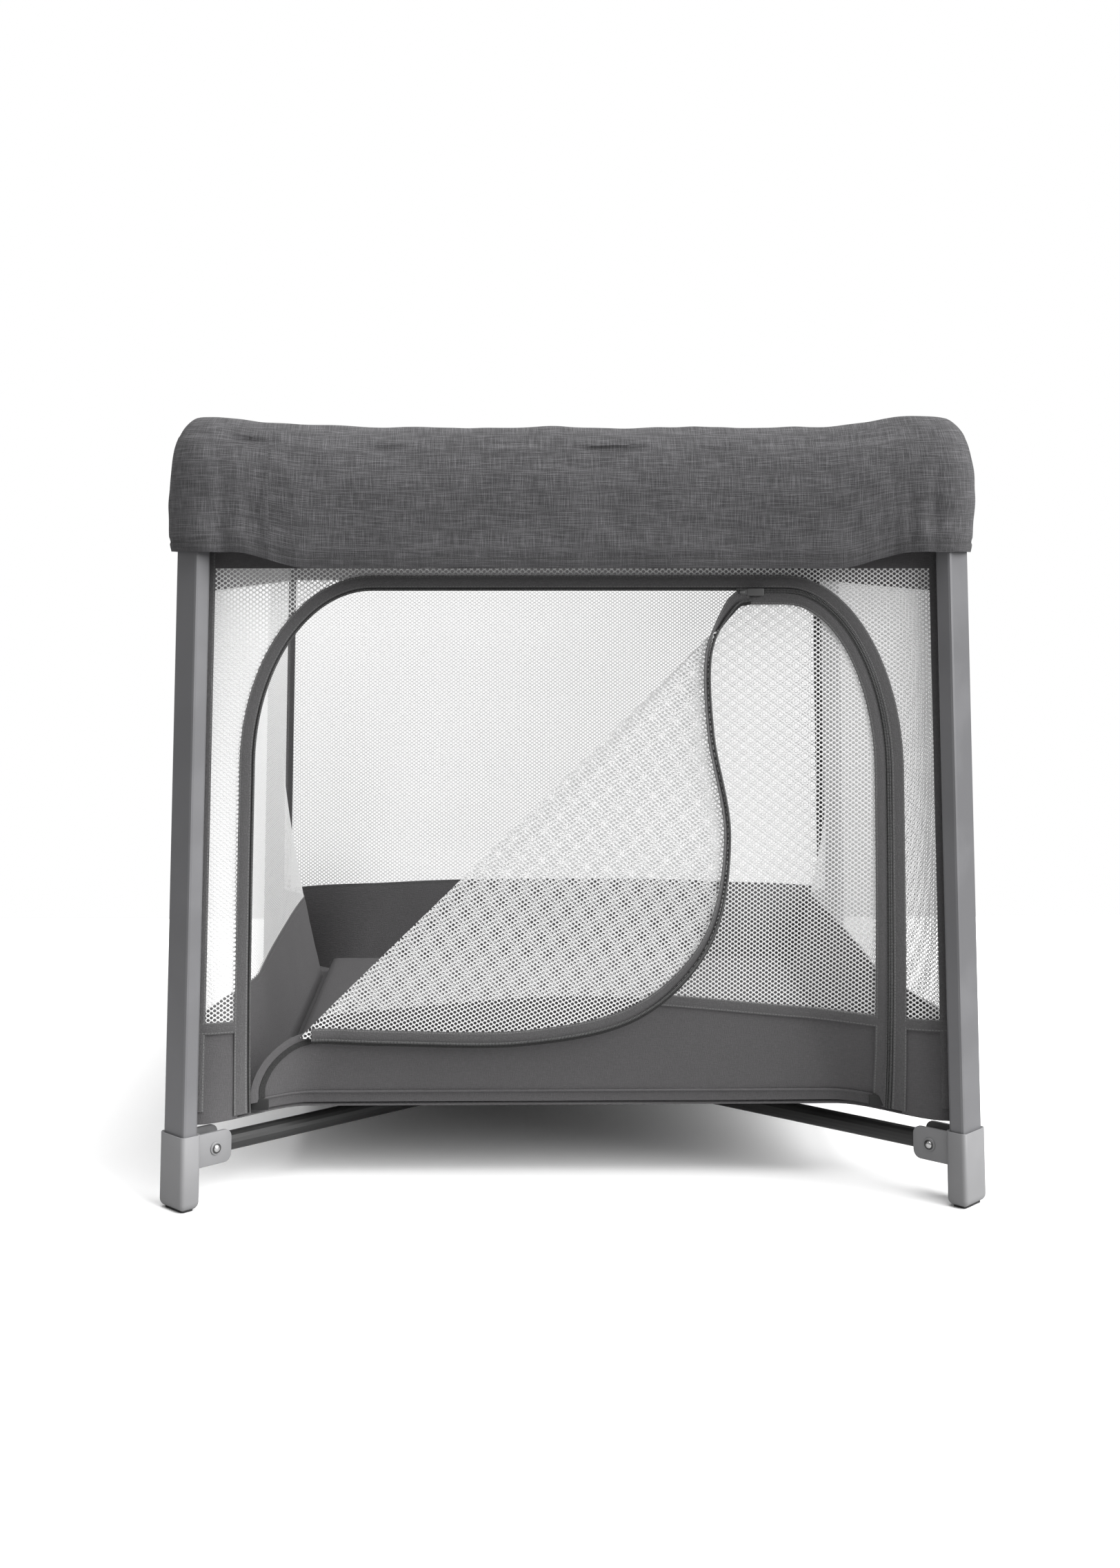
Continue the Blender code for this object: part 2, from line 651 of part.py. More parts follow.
def loop_at(bm, level, grow, count=16):
    """One ring of the tub's wall: level(x) is its height at each station."""
    ring = []
    for side in range(4):
        turn = Matrix.Rotation(math.radians(90 * side), 4, "Z")
        for share in across(count, 1)[:-1]:
            z = level(share * wall_half(0.15))
            x = share * wall_half(z)
            y = front_y(x, z)
            reach_out = wall_half(z) + grow
            point = Vector((share * reach_out, y - grow, z))
            ring.append(bm.verts.new(turn @ point))
    return ring


def tub():
    """Fabric floor with a band standing up round it, open above, with the doorway cut from its front."""
    bm = bmesh.new()
    half = FABRIC / 2
    outer = [loop_at(bm, lambda x, z=z: z, half) for z in (FLOOR_Z, SEAM_Z, 0.150)]
    outer.append(loop_at(bm, band_top, half))
    inner = [loop_at(bm, lambda x, z=z: z, -half) for z in (FLOOR_Z + FABRIC, SEAM_Z, 0.150)]
    inner.append(loop_at(bm, band_top, -half))
    rings = [*outer, *reversed(inner)]
    count = len(rings[0])
    for below, above in zip(rings, rings[1:]):
        for i in range(count):
            j = (i + 1) % count
            bm.faces.new((below[i], below[j], above[j], above[i]))
    for ring in (rings[0], rings[-1]):
        middle = bm.verts.new((0, 0, ring[0].co.z))
        for i in range(count):
            bm.faces.new((ring[i], ring[(i + 1) % count], middle))
    bmesh.ops.triangulate(bm, faces=bm.faces[:])
    slot = box((-0.016, -0.005, 0.07), (0.016, 0.005, 0.10))
    place("fabric_tub", combine(mesh_of(bm), (), (doorway(DOOR_BOTTOM - GAP), slot)), "band_fabric")


def mat():
    half, low, high = 0.336, FLOOR_Z + FABRIC + GAP, 0.112
    slab = box((-half, -half, low), (half, half, high), 0.008)
    slot = box((-0.016, -0.005, 0.07), (0.016, 0.005, 0.13))
    place("floor_mat", combine(slab, (), (slot,)), "mat_fabric")


def zip_parts():
    """Slider on the chain's straight top stretch, and its pull on a pin that stands upright between two ears."""
    z = DOOR_TOP - BINDING
    y = front_y(SLIDER_X, z) - 0.002 - GAP
    pin_y, pin_r, half_tall = y - 0.0065, 0.001, 0.0045
    ear_in = half_tall - 0.0012
    low = (SLIDER_X - 0.006, y - 0.004, z - half_tall)
    high = (SLIDER_X + 0.006, y, z + half_tall)
    ears = []
    for side in (1, -1):
        levels = sorted((z + side * ear_in, z + side * half_tall))
        ears.append(box((SLIDER_X - 0.002, pin_y - 0.002, levels[0]), (SLIDER_X + 0.002, y - 0.003, levels[1])))
    pin = rod((SLIDER_X, pin_y, z - half_tall + 0.0004), (SLIDER_X, pin_y, z + half_tall - 0.0004), pin_r, 12)
    place("zip_slider", combine(box(low, high, 0.001), (*ears, pin)), "zip_grey")
    tall = ear_in - GAP
    barrel = rod((0, 0, -tall), (0, 0, tall), 0.0019, 16)
    tab = box((0.0016, -0.0008, -tall), (0.024, 0.0008, tall))
    hole = rod((0, 0, -tall - 0.001), (0, 0, tall + 0.001), pin_r + GAP, 16)
    at = Matrix.Translation((SLIDER_X, pin_y, z))
    place("zip_pull", combine(barrel, (tab,), (hole,)), "zip_grey", at)


clear_scene()
legs()
feet()
struts()
hub()
brackets()
rails()
latches()
covers()
walls()
door_frame()
door()
tub()
mat()
zip_parts()
bpy.context.view_layer.update()
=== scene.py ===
import math

import bmesh
import bpy
from mathutils import Matrix, Vector, noise


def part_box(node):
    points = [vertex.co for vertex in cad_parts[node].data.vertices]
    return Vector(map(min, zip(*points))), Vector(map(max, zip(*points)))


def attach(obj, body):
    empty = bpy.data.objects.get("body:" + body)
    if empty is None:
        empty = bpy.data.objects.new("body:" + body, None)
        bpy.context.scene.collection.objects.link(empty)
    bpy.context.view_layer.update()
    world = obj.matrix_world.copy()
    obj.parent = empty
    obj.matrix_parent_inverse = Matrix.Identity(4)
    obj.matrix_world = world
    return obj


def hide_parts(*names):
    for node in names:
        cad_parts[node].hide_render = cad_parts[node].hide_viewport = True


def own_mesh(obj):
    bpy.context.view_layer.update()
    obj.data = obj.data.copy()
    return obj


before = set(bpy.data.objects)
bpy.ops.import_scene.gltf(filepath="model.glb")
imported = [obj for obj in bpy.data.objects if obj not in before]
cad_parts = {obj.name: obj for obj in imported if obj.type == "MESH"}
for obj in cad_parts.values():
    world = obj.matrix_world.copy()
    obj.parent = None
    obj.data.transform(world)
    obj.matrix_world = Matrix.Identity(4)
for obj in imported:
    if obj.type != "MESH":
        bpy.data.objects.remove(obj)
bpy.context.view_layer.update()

corners = ("front_left", "front_right", "back_right", "back_left")
sides = ("front", "right", "back", "left")

# the pen's walls, the same as the frame's
pen = {
    "footHalf": 0.4278, "lean": 0.0195, "inset": 0.0125,
    "floor": 0.086, "seam": 0.104, "bandCorner": 0.190, "bandMiddle": 0.213,
    "middle": 0.43, "meshTop": 0.775, "bow": 0.070, "cornerRamp": 0.115,
}


def sideTurn(side):
    return Matrix.Rotation(math.radians(90 * side), 4, "Z")


def wallHalf(z):
    return pen["footHalf"] - pen["lean"] * z - pen["inset"]


def smoothStep(share):
    share = min(max(share, 0.0), 1.0)
    return share * share * (3 - 2 * share)


def wallBow(x, z):
    up = min(max((z - pen["floor"]) / (pen["meshTop"] - pen["floor"]), 0.0), 1.0)
    ramp = pen["cornerRamp"] + (wallHalf(z) - pen["cornerRamp"]) * up
    return pen["bow"] * (1 - up) ** 2 * smoothStep((wallHalf(z) - abs(x)) / ramp)


def onWall(side, x, z, lift=0.0):
    # a point of one wall, lifted outwards
    return sideTurn(side) @ Vector((x, wallBow(x, z) - wallHalf(z) - lift, z))


def bandTop(x):
    share = min(abs(x) / wallHalf(pen["bandCorner"]), 1.0)
    return pen["bandMiddle"] + (pen["bandCorner"] - pen["bandMiddle"]) * share ** 3


def frontTop(x):
    # the door pulls the front band down sooner than the others
    share = min(abs(x) / wallHalf(pen["bandCorner"]), 1.0)
    return pen["bandMiddle"] + (pen["bandCorner"] - pen["bandMiddle"]) * smoothStep(share / 0.85)


def ripple(point, size, seed=0.0):
    # soft uneven number from -1 to 1
    return noise.noise(Vector(point) / size + Vector((seed, seed * 1.7, -seed)))


# small node helpers, used by every material

def linkOrSet(tree, value, socket):
    if isinstance(value, bpy.types.NodeSocket):
        tree.links.new(value, socket)
    else:
        socket.default_value = value


def calc(tree, operation, first, second=None, third=None, clamp=False):
    node = tree.nodes.new("ShaderNodeMath")
    node.operation = operation
    node.use_clamp = clamp
    for socket, value in zip(node.inputs, (first, second, third)):
        if value is not None:
            linkOrSet(tree, value, socket)
    return node.outputs[0]


def ramp(tree, value, low, high, start=0.0, end=1.0):
    node = tree.nodes.new("ShaderNodeMapRange")
    node.interpolation_type = "SMOOTHSTEP"
    given = {"Value": value, "From Min": low, "From Max": high, "To Min": start, "To Max": end}
    for label in given:
        linkOrSet(tree, given[label], node.inputs[label])
    return node.outputs[0]


def speckle(tree, vector, scale, detail=2.0):
    node = tree.nodes.new("ShaderNodeTexNoise")
    node.inputs["Detail"].default_value = detail
    linkOrSet(tree, scale, node.inputs["Scale"])
    linkOrSet(tree, vector, node.inputs["Vector"])
    return node.outputs["Fac"]


def split(tree, vector):
    node = tree.nodes.new("ShaderNodeSeparateXYZ")
    linkOrSet(tree, vector, node.inputs[0])
    return node.outputs


def join(tree, x, y, z=0.0):
    node = tree.nodes.new("ShaderNodeCombineXYZ")
    for socket, value in zip(node.inputs, (x, y, z)):
        linkOrSet(tree, value, socket)
    return node.outputs[0]


def blendColours(tree, share, first, second):
    node = tree.nodes.new("ShaderNodeMix")
    node.data_type = "RGBA"
    linkOrSet(tree, share, node.inputs["Factor"])
    linkOrSet(tree, first, node.inputs["A"])
    linkOrSet(tree, second, node.inputs["B"])
    return node.outputs["Result"]


def makeGroup(name, inputs, outputs):
    group = bpy.data.node_groups.new(name, "ShaderNodeTree")
    for label, value in inputs:
        kind = "NodeSocketVector" if value is None else "NodeSocketFloat"
        socket = group.interface.new_socket(label, in_out="INPUT", socket_type=kind)
        if value is not None:
            socket.default_value = value
    for label in outputs:
        group.interface.new_socket(label, in_out="OUTPUT", socket_type="NodeSocketFloat")
    return group, group.nodes.new("NodeGroupInput"), group.nodes.new("NodeGroupOutput")


def netGroup():
    # staggered rows of round holes; the alpha is 0 inside a hole
    inputs = (("Thread", None), ("Across", 0.0070), ("Up", 0.0051), ("Hole", 0.0018), ("Soft", 0.0003))
    group, start, end = makeGroup("knittedNet", inputs, ("Alpha", "Height"))
    u, v = split(group, start.outputs["Thread"])[:2]
    gaps = []
    for shift in (0.0, 0.5):
        spans = []
        for value, pitch in ((u, start.outputs["Across"]), (v, start.outputs["Up"])):
            turns = calc(group, "ADD", calc(group, "DIVIDE", value, pitch), shift)
            part = calc(group, "SUBTRACT", calc(group, "FRACT", turns), 0.5)
            away = calc(group, "ABSOLUTE", calc(group, "MULTIPLY", part, pitch))
            spans.append(calc(group, "POWER", away, 2.0))
        squares = calc(group, "ADD", calc(group, "MULTIPLY", spans[0], 0.84), spans[1])
        gaps.append(calc(group, "SQRT", squares))
    nearest = calc(group, "MINIMUM", *gaps)
    hole = start.outputs["Hole"]
    edge = calc(group, "ADD", hole, start.outputs["Soft"])
    group.links.new(ramp(group, nearest, hole, edge), end.inputs["Alpha"])
    group.links.new(ramp(group, nearest, edge, calc(group, "ADD", edge, 0.0006)), end.inputs["Height"])
    return group


def yarnGroup():
    # warp and weft yarns with uneven thickness, as slubs
    inputs = (("Thread", None), ("Yarn", 0.0007), ("Slub", 0.03), ("Contrast", 0.5))
    group, start, end = makeGroup("slubbedYarn", inputs, ("Shade", "Height"))
    u, v = split(group, start.outputs["Thread"])[:2]
    yarn = start.outputs["Yarn"]
    streaks = []
    for first, second, layer in ((u, v, 0.3), (v, u, 7.1)):
        along = calc(group, "DIVIDE", first, start.outputs["Slub"])
        across = calc(group, "DIVIDE", second, yarn)
        streaks.append(speckle(group, join(group, along, across, layer), 1.0, 1.0))
    weft, warp = (ramp(group, streak, 0.38, 0.74) for streak in streaks)
    both = calc(group, "ADD", weft, warp)
    half = calc(group, "MULTIPLY", start.outputs["Contrast"], 0.5)
    shade = calc(group, "MULTIPLY_ADD", both, half, calc(group, "SUBTRACT", 0.5, half))
    group.links.new(shade, end.inputs["Shade"])
    turns = calc(group, "DIVIDE", math.tau, yarn)
    waves = [calc(group, "SINE", calc(group, "MULTIPLY", value, turns)) for value in (u, v)]
    weave = calc(group, "MULTIPLY", *waves)
    height = calc(group, "ADD", calc(group, "MULTIPLY", weave, 0.3), both)
    group.links.new(height, end.inputs["Height"])
    return group


def stitchGroup():
    # dashes along one line of the map: 1 on the thread
    inputs = (("Thread", None), ("Line", 0.0), ("Step", 0.0034), ("Width", 0.0005))
    group, start, end = makeGroup("stitchLine", inputs, ("Mask",))
    u, v = split(group, start.outputs["Thread"])[:2]
    away = calc(group, "ABSOLUTE", calc(group, "SUBTRACT", v, start.outputs["Line"]))
    width = start.outputs["Width"]
    onLine = ramp(group, away, width, calc(group, "MULTIPLY", width, 1.5), 1.0, 0.0)
    along = calc(group, "FRACT", calc(group, "DIVIDE", u, start.outputs["Step"]))
    dash = calc(group, "LESS_THAN", calc(group, "ABSOLUTE", calc(group, "SUBTRACT", along, 0.5)), 0.38)
    group.links.new(calc(group, "MULTIPLY", onLine, dash), end.inputs["Mask"])
    return group


def grainGroup():
    # fine grain and broad smudges of paint or moulded plastic
    inputs = (("Place", None), ("Size", 0.0006), ("Smudge", 0.08))
    group, start, end = makeGroup("fineGrain", inputs, ("Grain", "Smudges"))
    place = start.outputs["Place"]
    fine = speckle(group, place, calc(group, "DIVIDE", 1.0, start.outputs["Size"]))
    broad = speckle(group, place, calc(group, "DIVIDE", 1.0, start.outputs["Smudge"]), 3.0)
    group.links.new(fine, end.inputs["Grain"])
    group.links.new(ramp(group, broad, 0.35, 0.65), end.inputs["Smudges"])
    return group


groups = {"net": netGroup(), "yarn": yarnGroup(), "stitch": stitchGroup(), "grain": grainGroup()}


def newMaterial(name):
    made = bpy.data.materials.new(name)
    made.use_nodes = True
    return made, made.node_tree, made.node_tree.nodes["Principled BSDF"]


def useGroup(tree, kind, vector, **values):
    node = tree.nodes.new("ShaderNodeGroup")
    node.node_tree = groups[kind]
    tree.links.new(vector, node.inputs[0])
    for label, value in values.items():
        linkOrSet(tree, value, node.inputs[label])
    return node.outputs


def mapVector(tree):
    node = tree.nodes.new("ShaderNodeUVMap")
    node.uv_map = "cloth"
    return node.outputs[0]


def placeVector(tree):
    return tree.nodes.new("ShaderNodeTexCoord").outputs["Object"]


def feed(tree, shader, values):
    for label, value in values.items():
        linkOrSet(tree, value, shader.inputs[label])


def bumpUp(tree, shader, height, strength, distance=0.001):
    bump = tree.nodes.new("ShaderNodeBump")
    bump.inputs["Strength"].default_value = strength
    bump.inputs["Distance"].default_value = distance
    tree.links.new(height, bump.inputs["Height"])
    tree.links.new(bump.outputs[0], shader.inputs["Normal"])


def grey(level, tint=0.0, cool=0.0):
    # tint takes green out, cool adds blue
    return (level * (1 + tint), level * (1 - tint), level * (1 + tint + cool), 1.0)


clothKinds = {
    # cover: the strip up to hem is darkened as painted shade of the shadow line at the hem; its dark stitches
    # are real stitches coloured as that painted shade
    "cover": dict(
        dark=grey(0.040, 0.01, 0.03), light=grey(0.140, 0.01, 0.03),
        yarn=0.0007, slub=0.022, contrast=1.0, sheen=0.10, hem=0.0132, stitches=(0.0112,), thread=0.30),
    "band": dict(
        dark=grey(0.068, 0.015), light=grey(0.104, 0.015),
        yarn=0.0005, slub=0.006, contrast=0.5, sheen=0.10),
    "binding": dict(
        dark=grey(0.066, 0.01), light=grey(0.112, 0.01),
        yarn=0.0006, slub=0.004, contrast=0.6, sheen=0.10, stitches=(0.0016, 0.0124), thread=1.25),
    "mat": dict(
        dark=grey(0.056, 0.015), light=grey(0.088, 0.015),
        yarn=0.0005, slub=0.006, contrast=0.5, sheen=0.08),
    "tape": dict(dark=grey(0.018), light=grey(0.040), yarn=0.0006, slub=0.003, contrast=0.7, sheen=0.05),
}


def clothMaterial(name, kind):
    look = clothKinds[kind]
    hem = look.get("hem", 0.0)
    made, tree, shader = newMaterial(name)
    thread = mapVector(tree)
    yarn = useGroup(tree, "yarn", thread, Yarn=look["yarn"], Slub=look["slub"], Contrast=look["contrast"])
    broad = speckle(tree, placeVector(tree), 9.0, 3.0)
    shade = calc(tree, "MULTIPLY_ADD", calc(tree, "SUBTRACT", broad, 0.5), 0.25, yarn["Shade"], clamp=True)
    colour = blendColours(tree, shade, look["dark"], look["light"])
    height = yarn["Height"]
    # the strip below the hem line is blended towards the dark yarn colour: painted shade of the shadow line
    # along the hem
    if hem:
        hemShade = ramp(tree, split(tree, thread)[1], hem - 0.0004, hem + 0.0004, 0.45, 0.0)
        colour = blendColours(tree, hemShade, colour, look["dark"])
    # stitches in their thread colour; the cover's dark ones are partly painted shade of the hem's shadow line
    for line in look.get("stitches", ()):
        mask = useGroup(tree, "stitch", thread, Line=line)["Mask"]
        colour = blendColours(tree, mask, colour, grey(look["light"][1] * look["thread"]))
        height = calc(tree, "MULTIPLY_ADD", mask, 2.0, height)
    rough = ramp(tree, yarn["Shade"], 0.0, 1.0, 0.95, 0.80)
    feed(tree, shader, {"Base Color": colour, "Roughness": rough, "Sheen Weight": look["sheen"]})
    feed(tree, shader, {"Sheen Roughness": 0.6, "Specular IOR Level": 0.25})
    bumpUp(tree, shader, height, 0.55, look["yarn"])
    return made


netLook = {"hole": 0.00146, "slantHole": 0.0009, "dark": grey(0.64), "light": grey(0.78)}


def netMaterial(name):
    # the yarns are thick, so the holes close when the net is seen at a slant
    made, tree, shader = newMaterial(name)
    thread = mapVector(tree)
    slant = tree.nodes.new("ShaderNodeLayerWeight").outputs["Facing"]
    hole = ramp(tree, slant, 0.50, 0.88, netLook["hole"], netLook["slantHole"])
    net = useGroup(tree, "net", thread, Hole=hole)
    fibre = speckle(tree, thread, 1500.0)
    colour = blendColours(tree, fibre, netLook["dark"], netLook["light"])
    rough = ramp(tree, fibre, 0.2, 0.8, 0.55, 0.75)
    feed(tree, shader, {"Base Color": colour, "Alpha": net["Alpha"], "Roughness": rough, "Sheen Weight": 0.2})
    bumpUp(tree, shader, calc(tree, "MULTIPLY_ADD", fibre, 0.3, net["Height"]), 0.5, 0.0006)
    return made


hardKinds = {
    "legPaint": dict(
        dark=(0.135, 0.0, 0.04), light=(0.162, 0.0, 0.04), rough=(0.42, 0.52), metal=0.25, bump=0.12),
    "strutPaint": dict(dark=(0.026,), light=(0.036,), rough=(0.42, 0.5), metal=0.3, bump=0.10),
    "railPaint": dict(dark=(0.25,), light=(0.32,), rough=(0.38, 0.48), metal=0.5, bump=0.08),
    "capPlastic": dict(
        dark=(0.170, 0.0, 0.02), light=(0.205, 0.0, 0.02), rough=(0.45, 0.56), bump=0.10, size=0.0005),
    "blackNylon": dict(dark=(0.030,), light=(0.045,), rough=(0.42, 0.6), bump=0.15, size=0.0006),
    "rubber": dict(dark=(0.022,), light=(0.036,), rough=(0.75, 0.9), bump=0.3, size=0.0008),
    "rivetSteel": dict(dark=(0.50,), light=(0.62,), rough=(0.2, 0.34), metal=1.0, bump=0.05, size=0.0004),
    "zipMetal": dict(dark=(0.13,), light=(0.19,), rough=(0.3, 0.42), metal=0.6, bump=0.05, size=0.0004),
    "coilNylon": dict(dark=(0.060,), light=(0.095,), rough=(0.35, 0.5), bump=0.1, size=0.0004),
}


def hardMaterial(kind):
    look = hardKinds[kind]
    made, tree, shader = newMaterial(kind)
    grain = useGroup(tree, "grain", placeVector(tree), Size=look.get("size", 0.0007))
    smudges = calc(tree, "MULTIPLY", grain["Smudges"], 0.5)
    mixed = calc(tree, "MULTIPLY_ADD", grain["Grain"], 0.5, smudges, clamp=True)
    colour = blendColours(tree, mixed, grey(*look["dark"]), grey(*look["light"]))
    rough = ramp(tree, grain["Smudges"], 0.0, 1.0, *look["rough"])
    feed(tree, shader, {"Base Color": colour, "Roughness": rough, "Metallic": look.get("metal", 0.0)})
    bumpUp(tree, shader, grain["Grain"], look["bump"], 0.0003)
    return made


paints = {kind: hardMaterial(kind) for kind in hardKinds}
paints["cover"] = clothMaterial("coverCloth", "cover")
paints["band"] = clothMaterial("bandCloth", "band")
paints["binding"] = clothMaterial("bindingCloth", "binding")
paints["mat"] = clothMaterial("matCloth", "mat")
paints["tape"] = clothMaterial("zipTape", "tape")
paints["net"] = netMaterial("knittedNet")
print("materials made")

# every piece is finished here

def addObject(name, data):
    made = bpy.data.objects.new(name, data)
    bpy.context.scene.collection.objects.link(made)
    return made


def finishPiece(name, bm, paint, thickness=0.0):
    mesh = bpy.data.meshes.new(name)
    bm.to_mesh(mesh)
    bm.free()
    piece = addObject(name, mesh)
    mesh.materials.append(paints[paint])
    mesh.shade_smooth()
    if thickness:
        wall = piece.modifiers.new("wall", "SOLIDIFY")
        wall.thickness = thickness
        wall.offset = -1.0
        crisp = piece.modifiers.new("crisp rims", "EDGE_SPLIT")
        crisp.split_angle = math.radians(60)
    return piece


def gridPiece(name, columns, rows, place, paint, thickness=0.0):
    # a grid laid by place(s, t), which gives the point and its place on the cloth in metres
    bm = bmesh.new()
    cloth = bm.loops.layers.uv.new("cloth")
    bmesh.ops.create_grid(bm, x_segments=columns, y_segments=rows, size=0.5)
    spots = {}
    for vert in bm.verts:
        point, spots[vert] = place(vert.co.x + 0.5, vert.co.y + 0.5)
        vert.co = point
    for face in bm.faces:
        for loop in face.loops:
            loop[cloth].uv = spots[loop.vert]
    return finishPiece(name, bm, paint, thickness)


def block(bm, middle, size, turn=Matrix()):
    matrix = turn @ Matrix.Translation(middle) @ Matrix.Diagonal((*size, 1))
    return bmesh.ops.create_cube(bm, size=1.0, matrix=matrix)["verts"]


def blockEdges(verts):
    return list({edge for vert in verts for edge in vert.link_edges})


def uprightEdges(bm):
    return [edge for edge in bm.edges if abs(edge.verts[0].co.z - edge.verts[1].co.z) > 1e-4]


def bevelEdges(bm, edges, offset, segments):
    bmesh.ops.bevel(
        bm, geom=edges, offset=offset, segments=segments, profile=0.5, affect="EDGES", material=-1)


def evenPath(points, step=0.006):
    # the same line with points at even steps, with each point's distance from the start
    points = [Vector(point) for point in points]
    lengths = [0.0]
    for first, second in zip(points, points[1:]):
        lengths.append(lengths[-1] + (second - first).length)
    count = max(2, round(lengths[-1] / step))
    made, at = [], 0
    for index in range(count + 1):
        goal = lengths[-1] * index / count
        while at < len(points) - 2 and lengths[at + 1] < goal:
            at += 1
        share = (goal - lengths[at]) / max(lengths[at + 1] - lengths[at], 1e-9)
        made.append(points[at].lerp(points[at + 1], share))
    return made, lengths[-1]


def pathFrame(points, index):
    before, after = points[max(index - 1, 0)], points[min(index + 1, len(points) - 1)]
    along = (after - before).normalized()
    return points[index], along, Vector((-along.y, along.x))


def ribbon(name, side, path, width, lift, paint, crown=0.0006, rows=4, thickness=0.0008, shift=0.0):
    # flat tape on a wall along a line given in X and Z
    points, length = evenPath(path)
    columns = len(points) - 1

    def place(s, t):
        spot, along, across = pathFrame(points, round(s * columns))
        spot = spot + across * ((t - 0.5) * width + shift)
        rise = lift + crown * (1 - (2 * t - 1) ** 2)
        return onWall(side, spot.x, spot.y, rise), (s * length, t * width)

    return gridPiece(name, columns, rows, place, paint, thickness)


def hang(piece, side, body=None):
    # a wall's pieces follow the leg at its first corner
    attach(piece, body or "leg_" + corners[side])
    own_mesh(piece)
    return piece


# the four net walls

wall = {
    "netColumns": 90, "netRows": 60, "ripple": 0.0022, "gap": 0.0022, "bandLine": 0.15, "stripWidth": 0.010,
    "headerBottom": 0.667, "hemFront": 0.692, "headerTop": 0.800, "wrap": 0.003,
    "netWidth": 0.83, "frontTall": 0.40,
}


def wallSway(x, z):
    # slack of the stretched cloth, none at its sewn edges
    free = smoothStep((wallHalf(z) - abs(x)) / 0.08)
    free *= smoothStep((0.70 - z) / 0.10) * smoothStep((z - bandTop(x)) / 0.06)
    return wall["ripple"] * free * ripple((x * 0.7, 0, z * 1.4), 0.16, 3.0)


def wallEdge(z):
    return wallHalf(z) - wall["gap"]


bandHalf = wallEdge(wall["bandLine"])


def stretch(piece, side):
    return hang(piece, side)


def sideNet(side):
    def place(s, t):
        z = bandTop((2 * s - 1) * 0.4) + t * (pen["meshTop"] - bandTop((2 * s - 1) * 0.4))
        x = (2 * s - 1) * wallEdge(z)
        return onWall(side, x, z, wallSway(x, z)), (x, z)

    piece = gridPiece("net_wall_" + sides[side], wall["netColumns"], wall["netRows"], place, "net")
    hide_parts("net_" + sides[side])
    return stretch(piece, side)


def band(side, name, left, right):
    # one stretch of the fabric band, from the floor's edge to the net
    low = pen["floor"] + 0.001

    def place(s, t):
        x0 = left + s * (right - left)
        z = low + t * ((bandTop(x0) if side else frontTop(x0)) - low)
        x = x0 * wallEdge(z) / bandHalf
        sag = 0.0016 * math.sin(math.pi * t) * ripple((x, 0, 0), 0.09, 5.0 + side)
        return onWall(side, x, z, sag), (x, z)

    piece = gridPiece(name, max(8, round((right - left) / 0.012)), 16, place, "band", 0.0012)
    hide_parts("fabric_tub")
    return stretch(piece, side)


def topBinding(name, side, line):
    # binding along the band's upper edge
    wrap = wall["wrap"]
    return ribbon(name, side, line, 0.013, wrap / 2 + 0.0004, "binding", thickness=wrap)


def wallTrim(side):
    # trims wrap both faces of the net, so they are as thick as a folded tape
    name, wrap = sides[side], wall["wrap"]
    made = []
    top = [(x * wallEdge(0.2) / 20, bandTop(x * wallEdge(0.2) / 20)) for x in range(-20, 21)]
    low = wall["headerBottom"] if side else wall["hemFront"]
    middle, tall = (low + wall["headerTop"]) / 2, wall["headerTop"] - low
    header = [(-wallEdge(middle), middle), (wallEdge(middle), middle)]
    made.append(ribbon("header_" + name, side, header, tall, wrap / 2, "band", 0.0, 8, wrap))
    seam = [(x * wallEdge(0.1) / 20, pen["seam"]) for x in range(-20, 21)]
    if side:
        made.append(topBinding("band_binding_" + name, side, top))
        made.append(ribbon("seam_piping_" + name, side, seam, 0.0032, 0.0008, "band", 0.0018, 4))
    for end in (-1, 1):
        edge = [(end * (wallHalf(z) - wall["stripWidth"] / 2), z) for z in (0.100, 0.3, 0.5, 0.778)]
        label = f"corner_strip_{name}_{'ab'[end > 0]}"
        made.append(ribbon(label, side, edge, wall["stripWidth"], wrap / 2, "binding", thickness=wrap))
    for piece in made:
        hang(piece, side)


for side in range(4):
    wallTrim(side)
    if side:
        sideNet(side)
        band(side, "band_" + sides[side], -bandHalf, bandHalf)
print("side walls hung")

# the zipped door in the front wall

door = {
    "left": -0.373, "right": 0.368, "top": 0.684, "bottom": 0.0905,
    "shoulderLeft": (0.140, 0.204), "shoulderRight": (0.127, 0.214), "leanLeft": 0.020, "leanRight": 0.013,
    "binding": 0.0135, "chain": 0.0062, "slider": 0.185,
    "foldLow": (-0.303, 0.170), "foldHigh": (0.152, 0.620),
    "netFlat": (0.70, 0.47), "bandLength": 0.69, "flapFlat": (0.64, 0.34),
    "edgeMarks": (
        (0.178, 0.640), (0.150, 0.600), (0.152, 0.510), (0.171, 0.395), (0.150, 0.278),
        (0.072, 0.196), (-0.051, 0.166), (-0.200, 0.165), (-0.290, 0.168)),
}


def archPath(inset, steps=24):
    # two sides leaning inwards a little, with a quarter ellipse at each shoulder
    foot, top = door["bottom"], door["top"] - inset
    path = [(door["left"] + inset, foot)]
    shoulders = (
        (door["shoulderLeft"], door["left"] + inset, door["leanLeft"], -1, 180),
        (door["shoulderRight"], door["right"] - inset, -door["leanRight"], 1, 90))
    for (wide, tall), edge, lean, side, start in shoulders:
        wide, tall = wide - inset, tall - inset
        middle = edge - side * wide
        for step in range(steps + 1):
            angle = math.radians(start - 90 * step / steps)
            z = top - tall + tall * math.sin(angle)
            path.append((middle + wide * math.cos(angle) + lean * (z - foot), z))
    return path + [(door["right"] - inset, foot)]


def cutPath(path, left, right=1.0):
    # the points of a path between two upright lines
    return [point for point in evenPath(path, 0.003)[0] if left < point.x < right]


